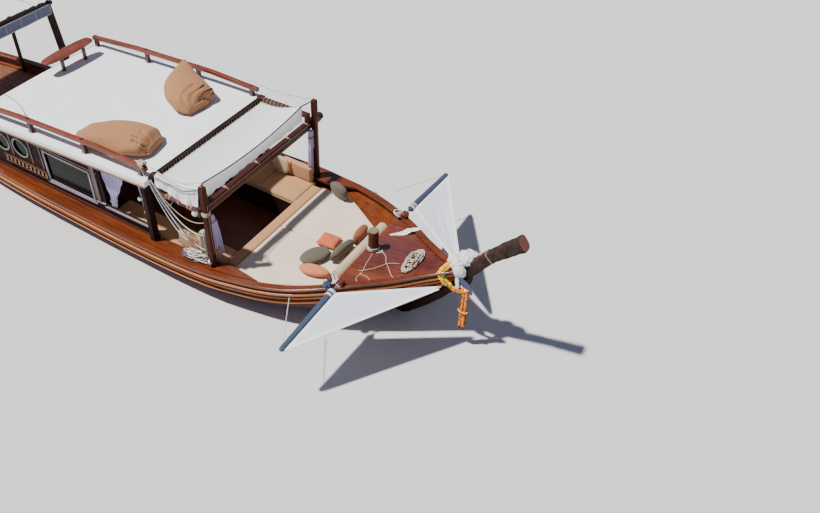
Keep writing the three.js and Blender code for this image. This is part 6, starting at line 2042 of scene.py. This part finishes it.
def add_aft_deck():
    seams = Shape()
    for k in range(-9, 10):
        y = SEAM_PITCH * (k + 0.5)
        xs = [x for x in steps(STERN_X + 0.03, ROOF_AFT_X - 0.03, 60) if abs(y) < half_at(x) - PLANK - 0.16]
        if len(xs) > 2:
            line = [(x, y, sheer_at(x) - AFT_DECK_DROP) for x in xs]
            seams.sweep(line, [(-0.0035, -0.003), (0.0035, -0.003), (0.003, 0.0022), (-0.003, 0.0022)],
                        across=(0, 1, 0))
    for x in (-6.2, -4.75, -3.4):
        reach = half_at(x) - PLANK - 0.17
        line = [(x, y, sheer_at(x) - AFT_DECK_DROP) for y in steps(-reach, reach, 20)]
        seams.sweep(line, [(-0.003, -0.003), (0.003, -0.003), (0.003, 0.002), (-0.003, 0.002)],
                    across=(1, 0, 0))
    seams.slot = 1
    for sign in (-1, 1):
        line = []
        for x in steps(STERN_X + 0.03, ROOF_AFT_X - 0.03, 60):
            line.append((x, sign * (half_at(x) - PLANK - 0.12), sheer_at(x) - AFT_DECK_DROP))
        seams.sweep(line, slab(-0.04, 0.04, -0.004, 0.009, 0.003, 2),
                    across=(0, 1, 0))
    seams.make("aft_deck_seams", ["seam", "cap"], slot="varnished_wood")


def add_transom():
    shape = Shape()
    face, proud, lip = STERN_X - PLANK, 0.007, 0.005
    keel, sheer = keel_at(STERN_X), sheer_at(STERN_X)
    tints = random_tints(17, TRANSOM_BOARDS, 0.2)
    for k in range(TRANSOM_BOARDS):
        z0 = keel + 0.02 + (sheer - keel - 0.03) * k / TRANSOM_BOARDS
        z1 = keel + 0.02 + (sheer - keel - 0.03) * (k + 1) / TRANSOM_BOARDS
        rings = []
        for s in steps(-0.97, 0.97, 16):
            low, high = s * hull_y(STERN_X, z0 + 0.02), s * hull_y(STERN_X, z1)
            rings.append([(face + 0.002, low, z0), (face - proud, low, z0 + lip),
                          (face - proud, high, z1 - lip),
                          (face + 0.002, high, z1)])
        shape.loft(rings, tint=tints[k])
    shape.slot = 1
    zs = steps(keel + 0.02, sheer, 20)
    rim = [(face - 0.004, -hull_y(STERN_X, z) * 0.985, z) for z in zs[::-1]]
    rim += [(face - 0.004, hull_y(STERN_X, z) * 0.985, z) for z in zs]
    shape.tube(rim, 0.016, 10)
    shape.make("transom_boards", ["stern", "cap"], slot="hull_wood")


add_aft_deck()
add_transom()


# Light, floor, and materials and soft edges for the imported pieces
FLOOR_FAR, FLOOR_COLOUR, FLOOR_ROUGH = 400, (0.62, 0.63, 0.64, 1), 0.9
SKY_COLOUR, SKY_STRENGTH = (0.62, 0.68, 1.0, 1), 0.26
SUN_WAY, SUN_COLOUR, SUN_STRENGTH, SUN_DEGREES = (0.62, 0.48, -1.45), (1.0, 0.96, 0.9), 7.2, 2.2


def add_stage():
    mesh = bpy.data.meshes.new("studio_floor")
    corners = [(x * FLOOR_FAR, y * FLOOR_FAR, 0) for x, y in ((-1, -1), (1, -1), (1, 1), (-1, 1))]
    mesh.from_pydata(corners, [], [(0, 1, 2, 3)])
    mat, _, shader = new_material("studio_floor")
    shader.inputs["Base Color"].default_value = FLOOR_COLOUR
    shader.inputs["Roughness"].default_value = FLOOR_ROUGH
    mesh.materials.append(mat)
    floor = bpy.data.objects.new("studio_floor", mesh)
    bpy.context.scene.collection.objects.link(floor)

    world = bpy.data.worlds.new("studio_world")
    bpy.context.scene.world = world
    world.use_nodes = True
    sky = world.node_tree.nodes["Background"]
    sky.inputs["Color"].default_value = SKY_COLOUR
    sky.inputs["Strength"].default_value = SKY_STRENGTH
    sun = bpy.data.lights.new("key", "SUN")
    sun.energy = SUN_STRENGTH
    sun.angle = radians(SUN_DEGREES)
    sun.color = SUN_COLOUR
    key = bpy.data.objects.new("key", sun)
    key.rotation_mode = "QUATERNION"
    key.rotation_quaternion = Vector(SUN_WAY).to_track_quat("-Z", "Y")
    bpy.context.scene.collection.objects.link(key)


BEVEL_WIDE, BEVEL_ANGLE = 0.004, 40


def dress_nodes():
    """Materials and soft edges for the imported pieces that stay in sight."""
    looks = {
        "keel": "dark", "transom": "hull", "side_deck_port": "cap", "side_deck_starboard": "cap",
        "aft_deck": "aftdeck", "sunpad_base": "inner", "bench_port": "dark", "bench_starboard": "dark",
        "cabin_side_port": "dark", "cabin_side_starboard": "dark", "cabin_bulkhead": "dark_y",
        "roof_deck": "roof",
        "canopy_frame": "dark_z", "engine_post": "dark_z", "swivel_yoke": "steel", "engine_frame": "steel",
        "engine_block": "engine", "tail_tube": "steel", "propeller": "bronze",
    }
    for name, look in looks.items():
        node = NODES[name]
        node.data.materials.clear()
        node.data.materials.append(M[look])
        bevel = node.modifiers.new("soft_edges", "BEVEL")
        bevel.width = BEVEL_WIDE
        bevel.segments = 2
        bevel.limit_method = "ANGLE"
        bevel.angle_limit = radians(BEVEL_ANGLE)


dress_nodes()
add_stage()
